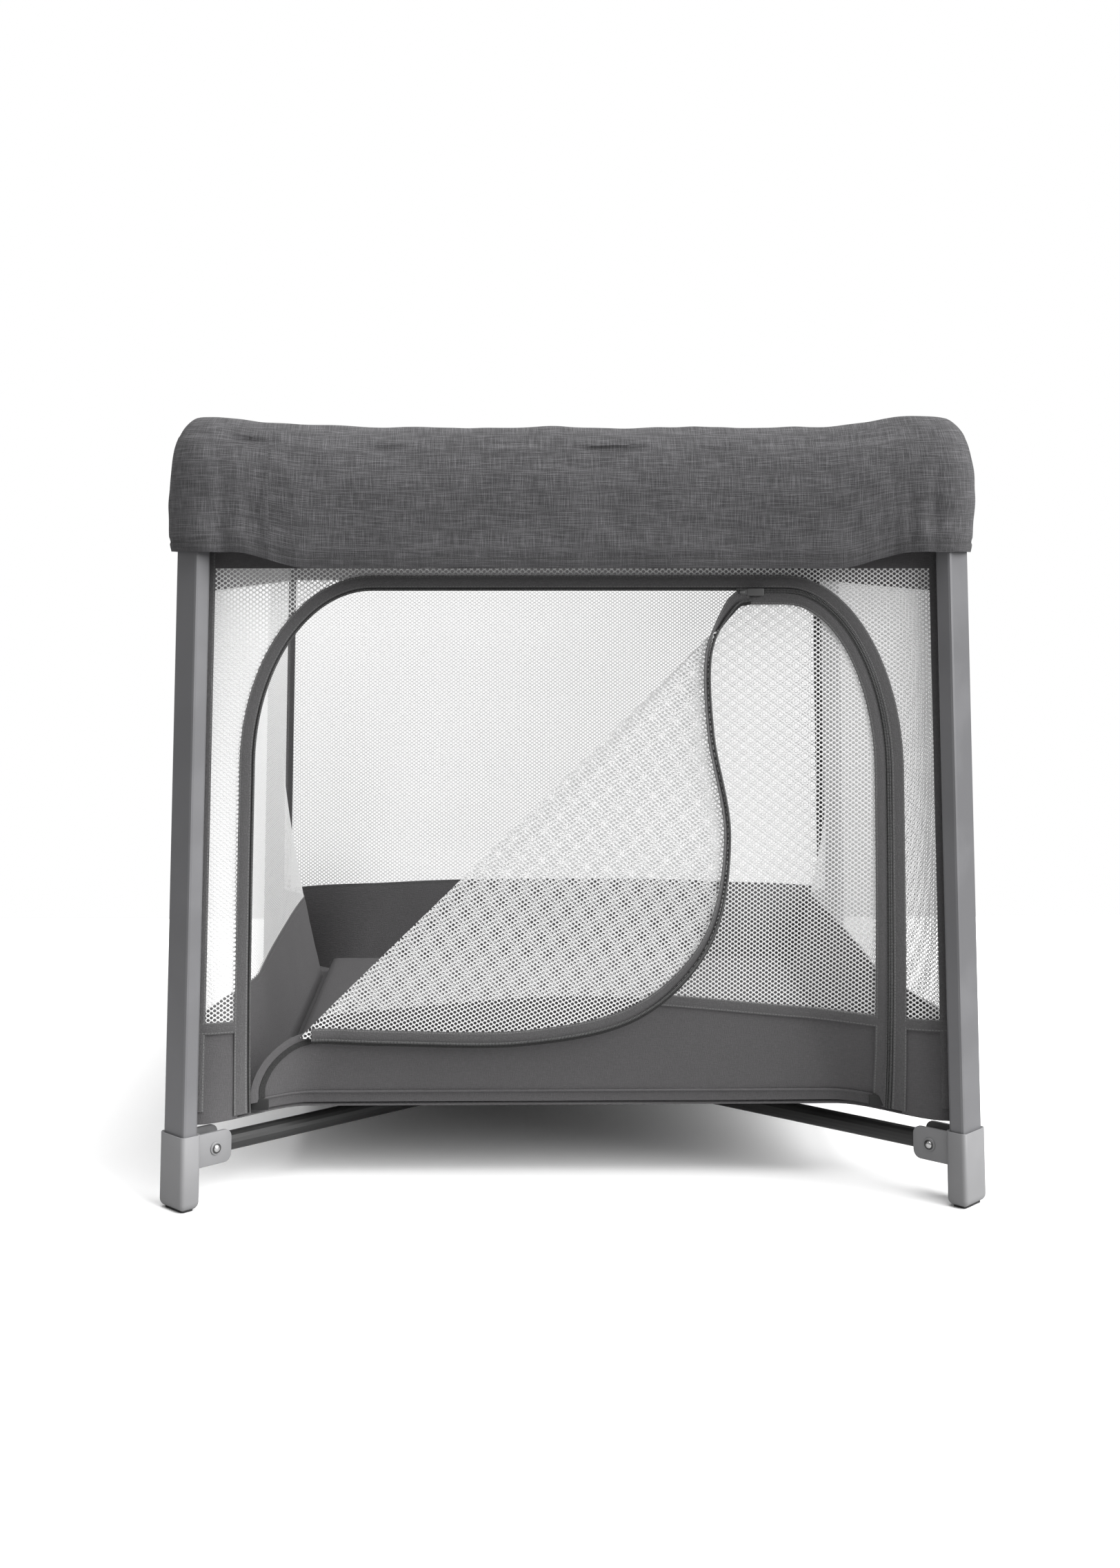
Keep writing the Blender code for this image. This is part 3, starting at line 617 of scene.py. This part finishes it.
def smoothLine(marks, steps=8):
    points = [Vector(mark) for mark in marks]
    ends = [points[0] * 2 - points[1], *points, points[-1] * 2 - points[-2]]
    line = []
    for a, b, c, d in zip(ends, ends[1:], ends[2:], ends[3:]):
        for step in range(steps):
            t = step / steps
            bend = (2 * a - 5 * b + 4 * c - d) * t * t
            line.append((2 * b + (c - a) * t + bend + (3 * b - a - 3 * c + d) * t ** 3) / 2)
    return line + [points[-1]]


def frontNet():
    # ring of net between the arch and the wall's edges
    arch = [p for p in evenPath(archPath(0.004), 0.006)[0] if p.y > frontTop(p.x)]
    columns, hub = len(arch) - 1, Vector((0.0, 0.195))

    def outerPoint(spot):
        away = spot - hub
        share = 1e9
        if abs(away.x) > 1e-6:
            share = (wallEdge(spot.y) * (1 if away.x > 0 else -1) - hub.x) / away.x
        if away.y > 1e-6:
            share = min(share, (pen["meshTop"] - hub.y) / away.y)
        goal = hub + away * share
        return Vector((max(min(goal.x, wallEdge(goal.y)), -wallEdge(goal.y)), goal.y))

    def place(s, t):
        inner = arch[round(s * columns)]
        spot = inner.lerp(outerPoint(inner), t)
        return onWall(0, spot.x, spot.y, wallSway(spot.x, spot.y)), (spot.x, spot.y)

    piece = gridPiece("net_wall_front", columns, 10, place, "net")
    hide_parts("net_front")
    return hang(piece, 0)


doorTop = door["top"] - door["binding"] - door["chain"]
foldLine = (Vector(door["foldLow"]), Vector(door["foldHigh"]))
innerArch = archPath(door["binding"] + door["chain"])
freeEdge = evenPath(smoothLine(door["edgeMarks"]), 0.006)[0]
stopLeft = Vector((door["left"] + door["binding"] + 0.012, 0.100))
curlDown = smoothLine(((-0.286, 0.168), (-0.312, 0.161), (-0.334, 0.143), (-0.346, 0.120), tuple(stopLeft)))


def crossing(line, z):
    # where a line that only rises reaches the height z
    for first, second in zip(line, line[1:]):
        if second.y >= z:
            share = (z - first.y) / max(second.y - first.y, 1e-6)
            return first.x + (second.x - first.x) * min(max(share, 0.0), 1.0)
    return line[-1].x


def doorLeft(z):
    # left edge of the closed part: the curl at the foot, then the fold line, then the slider
    if z < foldLine[0].y - 0.006:
        return crossing(curlDown[::-1], z)
    if z < foldLine[1].y:
        return crossing([Vector((-0.309, 0.163)), *foldLine], z)
    return crossing([foldLine[1], Vector((door["slider"], doorTop))], z)


def doorRight(z):
    return crossing([Vector(p) for p in innerArch[::-1] if p[0] > 0.15], z)


def doorPart(name, columns, rows, low, high, paint, thickness=0.0):
    def place(s, t):
        x = 0.0
        for _ in range(3):
            z = low(x) + t * (high(x) - low(x))
            x = doorLeft(z) + s * (doorRight(z) - doorLeft(z))
        free = smoothStep(min(x - doorLeft(z), doorRight(z) - x) / 0.05)
        sway = 0.002 * free * ripple((x, 0, z), 0.14, 8.0)
        return onWall(0, x, z, sway), (x, z)

    return gridPiece(name, columns, rows, place, paint, thickness)


def closedDoor():
    net = doorPart("door_net", 60, 50, frontTop, lambda x: doorTop, "net")
    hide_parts("door_panel")
    low = doorPart("door_band", 60, 14, lambda x: door["bottom"], frontTop, "band", 0.0012)
    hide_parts("door_panel", "fabric_tub")
    hang(net, 0)
    hang(low, 0)


def flapSpot(s, t):
    # s goes up the fold, t from the fold to the hanging edge
    edge = list(reversed(freeEdge))
    at = s * (len(edge) - 1)
    index = min(int(at), len(edge) - 2)
    outer = edge[index].lerp(edge[index + 1], at - index)
    return foldLine[0].lerp(foldLine[1], s).lerp(outer, t)


def flapLift(s, t):
    # rolls out at the fold and hangs clear of the panel, fullest at its free edge
    roll = 0.0030 + 0.0055 * smoothStep(t / 0.08)
    hangOut = 0.010 * t * math.sin(math.pi * min(s * 1.05, 1.0))
    return roll + hangOut


def turnedFlap():
    def place(s, t):
        spot = flapSpot(s, t)
        wave = 0.0022 * t * ripple((spot.x, 0, spot.y), 0.10, 12.0)
        cloth = (-spot.x * 0.98 + 0.2 * spot.y, spot.y * 0.98 + 0.2 * spot.x)
        return onWall(0, spot.x, spot.y, flapLift(s, t) + wave), cloth

    piece = gridPiece("flap_net", 80, 36, place, "net")
    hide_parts("door_flap")
    return hang(piece, 0, "flap")


sliderSpot = (door["slider"] + 0.009, doorTop - 0.0062)
trimLine = evenPath(smoothLine((sliderSpot, (0.176, 0.650), *door["edgeMarks"][1:])), 0.006)[0]


def trimLift(index):
    share = index / (len(trimLine) - 1)
    return 0.004 + (flapLift(1 - share, 1.0) - 0.004) * smoothStep(share / 0.15)


def flapTrim(name, width, shift, extra, paint):
    # tape along the flap's hanging edge, seen nearly edge on near the slider
    points = trimLine
    columns = len(points) - 1

    def place(s, t):
        index = round(s * columns)
        spot, along, across = pathFrame(points, index)
        turned = 0.42 + 0.58 * max(smoothStep((s - 0.30) / 0.35), smoothStep((0.07 - s) / 0.07))
        spot = spot - across * (((0.5 - t) * width + shift) * turned)
        depth = (1 - turned) * width * (0.5 - t)
        rise = trimLift(index) + extra + depth + 0.0006 * (1 - (2 * t - 1) ** 2)
        return onWall(0, spot.x, spot.y, rise), (s * columns * 0.006, t * width)

    piece = gridPiece(name, columns, 3, place, paint, 0.0008)
    return hang(piece, 0, "flap")


coil = {"tooth": (0.0010, 0.0016, 0.0026), "half": 0.0011, "rise": 0.0026, "step": 0.0016}


def teeth(name, path, offset, body=None, lift=None):
    # coil teeth: one small block at each step along the path, turned with it
    bm = bmesh.new()
    points = evenPath(path, coil["step"])[0]
    for index in range(len(points)):
        spot, along, across = pathFrame(points, index)
        spot = spot + across * offset
        rise = coil["rise"] + (lift(index, len(points) - 1) if lift else 0.0)
        turn = Matrix.Rotation(math.atan2(along.y, along.x), 4, "Y").inverted()
        block(bm, (0, 0, 0), coil["tooth"], Matrix.Translation(onWall(0, spot.x, spot.y, rise)) @ turn)
    return hang(finishPiece(name, bm, "coilNylon"), 0, body)


def doorZip():
    wide = door["binding"]
    outerBinding = ribbon("arch_binding", 0, archPath(0.0), wide, 0.0022, "binding", shift=-wide / 2)
    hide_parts("door_frame")
    chainLine = archPath(wide + door["chain"] / 2)
    closed = cutPath(chainLine, door["slider"])
    opened = cutPath(chainLine, -1.0, door["slider"])
    tape = ribbon("closed_tape", 0, closed, 0.0105, 0.0008, "tape")
    openTape = ribbon("open_tape", 0, opened, 0.0052, 0.0008, "tape", shift=0.0026)
    innerLine = cutPath(archPath(wide + door["chain"] + 0.006), door["slider"] + 0.004)
    inner = ribbon("door_binding", 0, innerLine, 0.0125, 0.0020, "binding")
    for piece in (outerBinding, tape, openTape, inner):
        hang(piece, 0)
    teeth("closed_chain_outer", closed, coil["half"])
    teeth("closed_chain_inner", closed, -coil["half"])
    teeth("open_chain_frame", opened, coil["half"])


band(0, "band_front_left", -bandHalf, door["left"] + 0.004)
band(0, "band_front_right", door["right"] - 0.004, bandHalf)
frontNet()
closedDoor()


def frontTrim():
    pieces = []
    spans = (
        ("left", -wallEdge(0.2), door["left"] + 0.003), ("right", door["right"] - 0.003, wallEdge(0.2)),
        ("door", 0.085, door["right"] - door["binding"] - door["chain"] - 0.010))
    for name, start, end in spans:
        line = [(start + (end - start) * i / 12, frontTop(start + (end - start) * i / 12)) for i in range(13)]
        pieces.append(topBinding("band_binding_front_" + name, 0, line))
    start, run = stopLeft.x + 0.002, door["right"] - 0.034 - stopLeft.x
    low = [(start + run * i / 20, pen["seam"] - 0.001) for i in range(21)]
    pieces.append(ribbon("seam_piping_front", 0, low, 0.0030, 0.0010, "band", 0.0018, 4))
    curl = ribbon("door_curl_binding", 0, curlDown, 0.009, 0.0012, "band", shift=-0.004)
    curlTape = ribbon("door_curl_tape", 0, curlDown, 0.006, 0.0022, "tape", shift=0.003)
    for piece in (*pieces, curl, curlTape):
        hang(piece, 0)


def flapRise(index, last):
    # how far one tooth of the flap's chain stands off the wall
    return trimLift(int(index * (len(trimLine) - 1) / last))


frontTrim()
turnedFlap()
flapTrim("flap_binding", 0.0125, 0.006, 0.0012, "binding")
flapTrim("flap_tape", 0.006, -0.003, 0.0008, "tape")
doorZip()
teeth("open_chain_flap", trimLine, 0.001, "flap", flapRise)
print("door made")

# the padded cover over the top rails

cover = {
    "outer": -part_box("top_cover_front")[0].y, "cornerStart": 0.33, "cornerRound": 0.046, "straight": 0.36,
    "top": 0.846, "cornerRise": 0.011,
    "hem": 0.6925, "hemRise": 0.0175, "fullDrop": 0.160, "cloth": 0.0035, "step": 0.003,
    "section": (
        (0.0040, 0.160), (0.0024, 0.148), (0.0012, 0.120), (0.0000, 0.090), (0.0002, 0.066),
        (0.0045, 0.040), (0.0120, 0.019), (0.0215, 0.006), (0.0315, 0.000), (0.0420, 0.003),
        (0.0520, 0.013), (0.0580, 0.030), (0.0612, 0.055), (0.0600, 0.092)),
}
coverSection, coverGirth = evenPath(smoothLine(cover["section"]), cover["step"])


def coverTop(x):
    away = abs(x)
    wave = 0.0016 * ripple((x, 0, 0), 0.11, 21.0)
    return cover["top"] + cover["cornerRise"] * smoothStep((away - 0.25) / 0.14) + wave


def coverHem(x):
    rise = cover["hemRise"] * smoothStep((abs(x) - 0.285) / 0.085)
    return cover["hem"] + rise + 0.0012 * ripple((x, 0, 0), 0.05, 4.0)


def coverDepth(x, drop):
    # the lower part of the section stretches down to the hem
    shoulder = 0.045
    if drop <= shoulder:
        return coverTop(x) - drop
    share = (drop - shoulder) / (cover["fullDrop"] - shoulder)
    return coverTop(x) - shoulder - share * (coverTop(x) - shoulder - coverHem(x))


def coverSpot(side, x, index):
    # a point of the straight cover, in the side's own directions, with its outward swell
    inset, drop = coverSection[index]
    outside = index < len(coverSection) * 0.62
    z = coverDepth(x, drop) if outside else coverTop(x) - drop
    spot = sideTurn(side) @ Vector((x, inset - cover["outer"], z))
    nearCorner = smoothStep((abs(x) - 0.27) / 0.08)
    low = smoothStep((drop - 0.02) / 0.06)
    swell = 0.0030 * ripple(spot, 0.075, 2.0) + 0.0012 * ripple(spot, 0.026, 9.0)
    swell += 0.0032 * nearCorner * low * ripple((x * 1.6, side, z * 0.35), 0.022, 6.0)
    pinch = 0.0016 * math.exp(-((index * cover["step"] - clothKinds["cover"]["hem"]) / 0.0022) ** 2)
    return spot, swell - pinch


def coverNormal(index, turn):
    before, after = coverSection[max(index - 1, 0)], coverSection[min(index + 1, len(coverSection) - 1)]
    run = (after - before).normalized()
    outwards = -abs(run.y) if index < len(coverSection) * 0.5 else abs(run.y)
    return turn @ Vector((0, outwards, abs(run.x)))


def coverRun(side):
    rows = len(coverSection) - 1
    start = cover["cornerStart"]

    def place(s, t):
        index, x = round(t * rows), (2 * s - 1) * start
        spot, swell = coverSpot(side, x, index)
        return spot + coverNormal(index, sideTurn(side)) * swell, (x + side * 0.9, t * coverGirth)

    name = sides[side]
    piece = gridPiece("cover_run_" + name, 130, rows, place, "cover", cover["cloth"])
    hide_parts("top_cover_" + name)
    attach(piece, "leg_" + corners[side])
    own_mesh(piece)


def coverCorner(corner):
    # from the end of one side, round the leg, to the start of the next side
    rows = len(coverSection) - 1
    start, straight, side = cover["cornerStart"], cover["straight"], (corner - 1) % 4

    def place(s, t):
        index = round(t * rows)
        inset = coverSection[index].x
        radius = max(cover["cornerRound"] - inset * 0.75, 0.004)
        middle = cover["outer"] - inset - radius
        turnShare = min(max((s - straight) / (1 - 2 * straight), 0.0), 1.0)
        at, x = side, middle
        if s <= straight:
            x = start + (middle - start) * s / straight
        elif turnShare == 1.0:
            at, x = (side + 1) % 4, -(middle + (start - middle) * (s - 1 + straight) / straight)
        spot, swell = coverSpot(at, x, index)
        normal = coverNormal(index, sideTurn(at))
        if 0.0 < turnShare < 1.0:
            nextSpot, nextSwell = coverSpot((side + 1) % 4, -middle, index)
            hub = sideTurn(side) @ Vector((middle, -middle, 0))
            rotate = Matrix.Rotation(math.radians(90 * turnShare), 4, "Z")
            arm = rotate @ (Vector((spot.x, spot.y, 0)) - hub)
            spot = Vector((hub.x + arm.x, hub.y + arm.y, spot.z + (nextSpot.z - spot.z) * turnShare))
            swell += (nextSwell - swell) * turnShare
            normal = rotate @ normal
        along = start + s * 0.21 + side * 0.9
        return spot + normal * swell, (along, t * coverGirth)

    name = corners[corner]
    piece = gridPiece("cover_corner_" + name, 66, rows, place, "cover", cover["cloth"])
    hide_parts("top_cover_" + sides[corner])
    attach(piece, "leg_" + name)


for side in range(4):
    coverRun(side)
    coverCorner(side)
print("cover made")

# the floor cloth and the mat, a quarter on each strut

matLow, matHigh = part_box("floor_mat")
floorMat = {
    "half": matHigh.x, "low": matLow.z, "high": matHigh.z, "edge": 0.014, "cloth": 0.004, "keep": 0.30,
    "flat": (0.42, 0.42),
}


def floorQuarter(corner):
    turn, half = sideTurn(corner), wallHalf(pen["floor"])

    def place(s, t):
        x, y = s * half, t * half
        px = -s * (half - wallBow(y, pen["floor"]))
        py = -t * (half - wallBow(x, pen["floor"]))
        sag = -0.0015 * ripple((px, py, corner), 0.12, 5.0) * (1 - max(s, t) ** 6)
        return turn @ Vector((px, py, pen["floor"] + 0.0012 + sag)), (px, py)

    piece = gridPiece("floor_cloth_" + corners[corner], 40, 40, place, "band", 0.0012)
    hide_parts("fabric_tub")
    foldQuarter(piece, corner)


def foldQuarter(piece, corner):
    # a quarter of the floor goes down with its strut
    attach(piece, "strut_" + corners[corner])
    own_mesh(piece)


def matQuarter(corner):
    turn, half = sideTurn(corner), floorMat["half"]
    tall = floorMat["high"] - floorMat["low"]

    def place(s, t):
        px, py = s * half, t * half
        gap = min(half - px, half - py) / floorMat["edge"]
        roundness = math.sqrt(max(1 - (1 - min(gap, 1.0)) ** 2, 0.0))
        swell = 0.0012 * ripple((px, py, corner), 0.07, 1.0) * min(px, py, half - px, half - py) / half * 4
        z = floorMat["low"] + floorMat["cloth"] + (tall - floorMat["cloth"] - 0.0015) * roundness + swell
        return turn @ Vector((-px, -py, z)), (px, py)

    piece = gridPiece("mat_quarter_" + corners[corner], 48, 48, place, "mat", floorMat["cloth"])
    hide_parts("floor_mat")
    foldQuarter(piece, corner)


for corner in range(4):
    floorQuarter(corner)
    matQuarter(corner)
print("floor made")

# the zip's slider and pull

def bevelledBlock(bm, low, high, bevel):
    low, high = Vector(low), Vector(high)
    bevelEdges(bm, blockEdges(block(bm, (low + high) / 2, high - low)), bevel, 3)


def carry(piece, body):
    # a small piece of the hub's goes to its place on the folded front wall
    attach(piece, body)
    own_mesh(piece)


def zipSlider():
    low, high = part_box("zip_slider")
    bm = bmesh.new()
    middle = (low.z + high.z) / 2
    bevelledBlock(bm, (low.x, high.y - 0.0038, low.z), (high.x, high.y, high.z), 0.0012)
    bridge = (low.x + 0.003, low.y, middle - 0.0016)
    bevelledBlock(bm, bridge, (high.x - 0.003, high.y - 0.0030, middle + 0.0016), 0.0008)
    piece = finishPiece("slider_body", bm, "zipMetal")
    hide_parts("zip_slider")
    carry(piece, "slider")
    low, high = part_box("zip_pull")
    bm = bmesh.new()
    middle, y = (low.z + high.z) / 2, (low.y + high.y) / 2
    neck, grip = (0.0008, 0.0030), (0.0013, 0.0042)
    spans = ((low.x, low.x + 0.0085, neck, 0.0005), (low.x + 0.0070, high.x, grip, 0.0011))
    for start, end, (thin, tall), bevel in spans:
        bevelledBlock(bm, (start, y - thin, middle - tall), (end, y + thin, middle + tall), bevel)
    piece = finishPiece("pull_tab", bm, "coilNylon")
    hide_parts("zip_pull")
    carry(piece, "pull")


def zipStops():
    # bound tabs over the zip's two lower ends
    bm = bmesh.new()
    for x, wide in ((door["left"] + 0.026, 0.020), (door["right"] - 0.026, 0.022)):
        spot = onWall(0, x, 0.097, 0.0035)
        low = (spot.x - wide / 2, spot.y - 0.0012, 0.0915)
        bevelledBlock(bm, low, (spot.x + wide / 2, spot.y + 0.0030, 0.1035), 0.0011)
    hang(finishPiece("zip_end_tabs", bm, "tape"), 0)


zipSlider()
zipStops()

# the feet, their lugs and the corner sockets

foot = {
    "wide": 0.0430, "thin": 0.0250, "low": 0.0016, "high": 0.0810, "corner": 0.0052, "toe": 0.0080,
    "rim": 0.0027, "padInset": 0.0050, "padHigh": 0.0046, "padCorner": 0.003,
}


def legMatrix(corner):
    # local +X points outwards and Z runs up the leaning leg
    low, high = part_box("foot_pad_" + corners[corner])
    middle = (low + high) / 2
    lean = math.atan(pen["lean"] * math.sqrt(2))
    turn = Matrix.Rotation(math.radians(225 + 90 * corner), 4, "Z") @ Matrix.Rotation(-lean, 4, "Y")
    return Matrix.Translation((middle.x, middle.y, 0)) @ turn


def legPiece(name, bm, corner, paint, node):
    # made upright at the origin, then stood on its leg
    bmesh.ops.transform(bm, matrix=legMatrix(corner), verts=bm.verts)
    piece = finishPiece(name + corners[corner], bm, paint)
    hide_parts(node + corners[corner])
    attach(piece, "leg_" + corners[corner])
    return piece


def footCap(corner):
    bm = bmesh.new()
    tall = foot["high"] - foot["low"]
    block(bm, (0, 0, foot["low"] + tall / 2), (foot["thin"], foot["wide"], tall))
    bevelEdges(bm, uprightEdges(bm), foot["corner"], 5)
    toe = [edge for edge in bm.edges if all(vert.co.z < foot["low"] + 1e-5 for vert in edge.verts)]
    bevelEdges(bm, toe, foot["toe"], 5)
    top = max(bm.faces, key=lambda face: face.calc_center_median().z)
    bmesh.ops.inset_region(bm, faces=[top], thickness=0.0004)
    bmesh.ops.translate(bm, vec=(0, 0, 0.0006), verts=top.verts)
    bmesh.ops.inset_region(bm, faces=[top], thickness=foot["rim"] - 0.0008)
    bmesh.ops.translate(bm, vec=(0, 0, -0.0020), verts=top.verts)
    legPiece("foot_cap_", bm, corner, "capPlastic", "foot_")


def footPad(corner):
    bm = bmesh.new()
    thin, wide = (foot[name] - 2 * foot["padInset"] for name in ("thin", "wide"))
    block(bm, (0, 0, foot["padHigh"] / 2 + 0.0001), (thin, wide, foot["padHigh"]))
    bevelEdges(bm, uprightEdges(bm), foot["padCorner"], 4)
    legPiece("pad_", bm, corner, "rubber", "foot_pad_")


lug = {
    "near": 0.0109, "far": 0.0149, "start": 0.0105, "out": 0.0364, "end": 0.0575, "z": 0.061, "half": 0.0178,
    "corner": 0.009, "bosses": ((0.0076, 0.0016), (0.0058, 0.0022)),
    "pin": 0.0029, "headHalf": (0.0041, 0.0019, 0.0041), "ring": 0.0053,
}
flatTurn = Matrix.Rotation(math.radians(90), 4, "X")


def lugSpot(away):
    # a place on the pin's line, away from the leg's middle plane
    return Matrix.Translation((-lug["out"], away, lug["z"]))


def disc(bm, matrix, radius, depth, segments=36, taper=0.0):
    bmesh.ops.create_cone(
        bm, cap_ends=True, segments=segments, radius1=radius, radius2=radius - taper,
        depth=depth, matrix=matrix)


def lugFork(corner):
    # two cheeks with rounded ends, each with a round boss for the rivet
    bm = bmesh.new()
    for side in (1, -1):
        middle = (-(lug["end"] + lug["start"]) / 2, side * (lug["near"] + lug["far"]) / 2, lug["z"])
        made = block(bm, middle, (lug["end"] - lug["start"], lug["far"] - lug["near"], lug["half"] * 2))
        tip = 1e-4 - lug["end"]
        ends = [edge for edge in blockEdges(made) if all(vert.co.x < tip for vert in edge.verts)]
        ends = [edge for edge in ends if abs(edge.verts[0].co.y - edge.verts[1].co.y) > 1e-4]
        bevelEdges(bm, ends, lug["corner"], 5)
        outwards = flatTurn if side < 0 else flatTurn.inverted()
        for radius, depth in lug["bosses"]:
            away = side * (lug["far"] + depth / 2 - 0.0002)
            disc(bm, lugSpot(away) @ outwards, radius, depth, taper=0.0004)
    piece = legPiece("lug_fork_", bm, corner, "capPlastic", "foot_")
    edges = piece.modifiers.new("soft edges", "BEVEL")
    edges.width, edges.segments, edges.limit_method = 0.0005, 2, "ANGLE"


def rivet(corner):
    bm = bmesh.new()
    disc(bm, lugSpot(0) @ flatTurn, lug["pin"], 2 * lug["far"], 24)
    for side in (1, -1):
        head = lugSpot(side * (lug["far"] + 0.0019)) @ Matrix.Diagonal((*lug["headHalf"], 1))
        bmesh.ops.create_uvsphere(bm, u_segments=24, v_segments=12, radius=1.0, matrix=head)
    legPiece("rivet_", bm, corner, "rivetSteel", "lug_rivet_")


def rivetShadowRing(corner):
    # a dark disc round each rivet head, painted shade of the recess round it
    bm = bmesh.new()
    for side in (1, -1):
        disc(bm, lugSpot(side * (lug["far"] + 0.0021)) @ flatTurn, lug["ring"], 0.0004)
    legPiece("rivet_shadow_ring_", bm, corner, "blackNylon", "lug_rivet_")


socket = {
    "size": (0.0205, 0.0390, 0.044), "high": 0.803, "round": 0.003,
    "earSize": (0.042, 0.0085, 0.024), "earPlace": (0.389, -0.4123, 0.8095),
}


def cornerSocket(corner):
    # a block over the leg's top with an ear for each rail, all inside the cover
    bm = bmesh.new()
    made = block(bm, (0, 0, socket["high"]), socket["size"])
    bevelEdges(bm, blockEdges(made), socket["round"], 3)
    along, back, up = socket["earPlace"]
    for side, end in ((corner, -1), ((corner - 1) % 4, 1)):
        turn = legMatrix(corner).inverted() @ sideTurn(side)
        block(bm, (end * along, back, up), socket["earSize"], turn)
    legPiece("corner_socket_", bm, corner, "blackNylon", "corner_bracket_")


for corner in range(4):
    # dark discs round the rivet heads are painted shade
    rivetShadowRing(corner)
    cornerSocket(corner)
    footCap(corner)
    footPad(corner)
    lugFork(corner)
    rivet(corner)
print("feet made")

# finishes of the frame's own pieces

finishes = (
    ("leg_", "legPaint"), ("foot_pad_", "rubber"), ("foot_", "capPlastic"), ("lug_rivet_", "rivetSteel"),
    ("strut_", "strutPaint"), ("hub_", "blackNylon"), ("pull_strap", "tape"),
    ("corner_bracket_", "blackNylon"), ("rail_latch_", "blackNylon"), ("latch_button_", "capPlastic"),
    ("rail_", "railPaint"),
)
for name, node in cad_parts.items():
    found = [paint for start, paint in finishes if name.startswith(start)]
    if found and node.material_slots:
        node.material_slots[0].material = paints[found[0]]
print("frame finished")

# studio floor, light and camera

studio = {"floorSize": 2.4, "worldLevel": 0.42, "backLevel": 1.0, "floorGrey": 0.95, "floorBounce": 0.50}
suns = {
    "overhead_light": {"power": 2.6, "soft": 45, "turn": (12, 0, 10)},
    "side_light": {"power": 5.0, "soft": 50, "turn": (60, 0, 62)},
}


def stageFloor():
    bm = bmesh.new()
    bmesh.ops.create_grid(bm, x_segments=8, y_segments=8, size=studio["floorSize"] / 2)
    mesh = bpy.data.meshes.new("studio_floor")
    bm.to_mesh(mesh)
    bm.free()
    floor = addObject("studio_floor", mesh)
    made, tree, shader = newMaterial("studioFloor")
    spread = speckle(tree, placeVector(tree), 3.0)
    # paler to the camera than to the object, so that little light comes up from below
    seen = tree.nodes.new("ShaderNodeLightPath").outputs["Is Camera Ray"]
    pale = blendColours(tree, spread, grey(studio["floorGrey"]), grey(studio["floorGrey"] + 0.01))
    colour = blendColours(tree, seen, grey(studio["floorBounce"]), pale)
    feed(tree, shader, {"Base Color": colour, "Roughness": 0.9})
    mesh.materials.append(made)


def studioLight():
    # white all round for the camera, softer as light, with broad light from above and from the right
    world = bpy.data.worlds.new("studio")
    bpy.context.scene.world = world
    world.use_nodes = True
    tree = world.node_tree
    back = tree.nodes["Background"]
    back.inputs["Color"].default_value = grey(1.0)
    seen = tree.nodes.new("ShaderNodeLightPath").outputs["Is Camera Ray"]
    level = calc(tree, "MULTIPLY_ADD", seen, studio["backLevel"] - studio["worldLevel"], studio["worldLevel"])
    tree.links.new(level, back.inputs["Strength"])
    for name, look in suns.items():
        sun = bpy.data.lights.new(name, "SUN")
        sun.energy, sun.angle = look["power"], math.radians(look["soft"])
        lamp = addObject(name, sun)
        lamp.rotation_euler = [math.radians(angle) for angle in look["turn"]]
    bpy.context.scene.view_settings.view_transform = "Standard"


view = {"place": (-0.073, -2.497, 0.711), "turn": -0.95, "lens": 43.8, "shiftX": 0.0136, "shiftY": -0.1486}


def sceneCamera():
    camera = bpy.data.cameras.new("front_view")
    camera.lens = view["lens"]
    camera.shift_x, camera.shift_y = view["shiftX"], view["shiftY"]
    holder = addObject("front_view", camera)
    holder.location = view["place"]
    holder.rotation_euler = (math.radians(90), 0, math.radians(view["turn"]))
    bpy.context.scene.camera = holder


stageFloor()
studioLight()
sceneCamera()
bpy.context.view_layer.update()

print("scene ready")
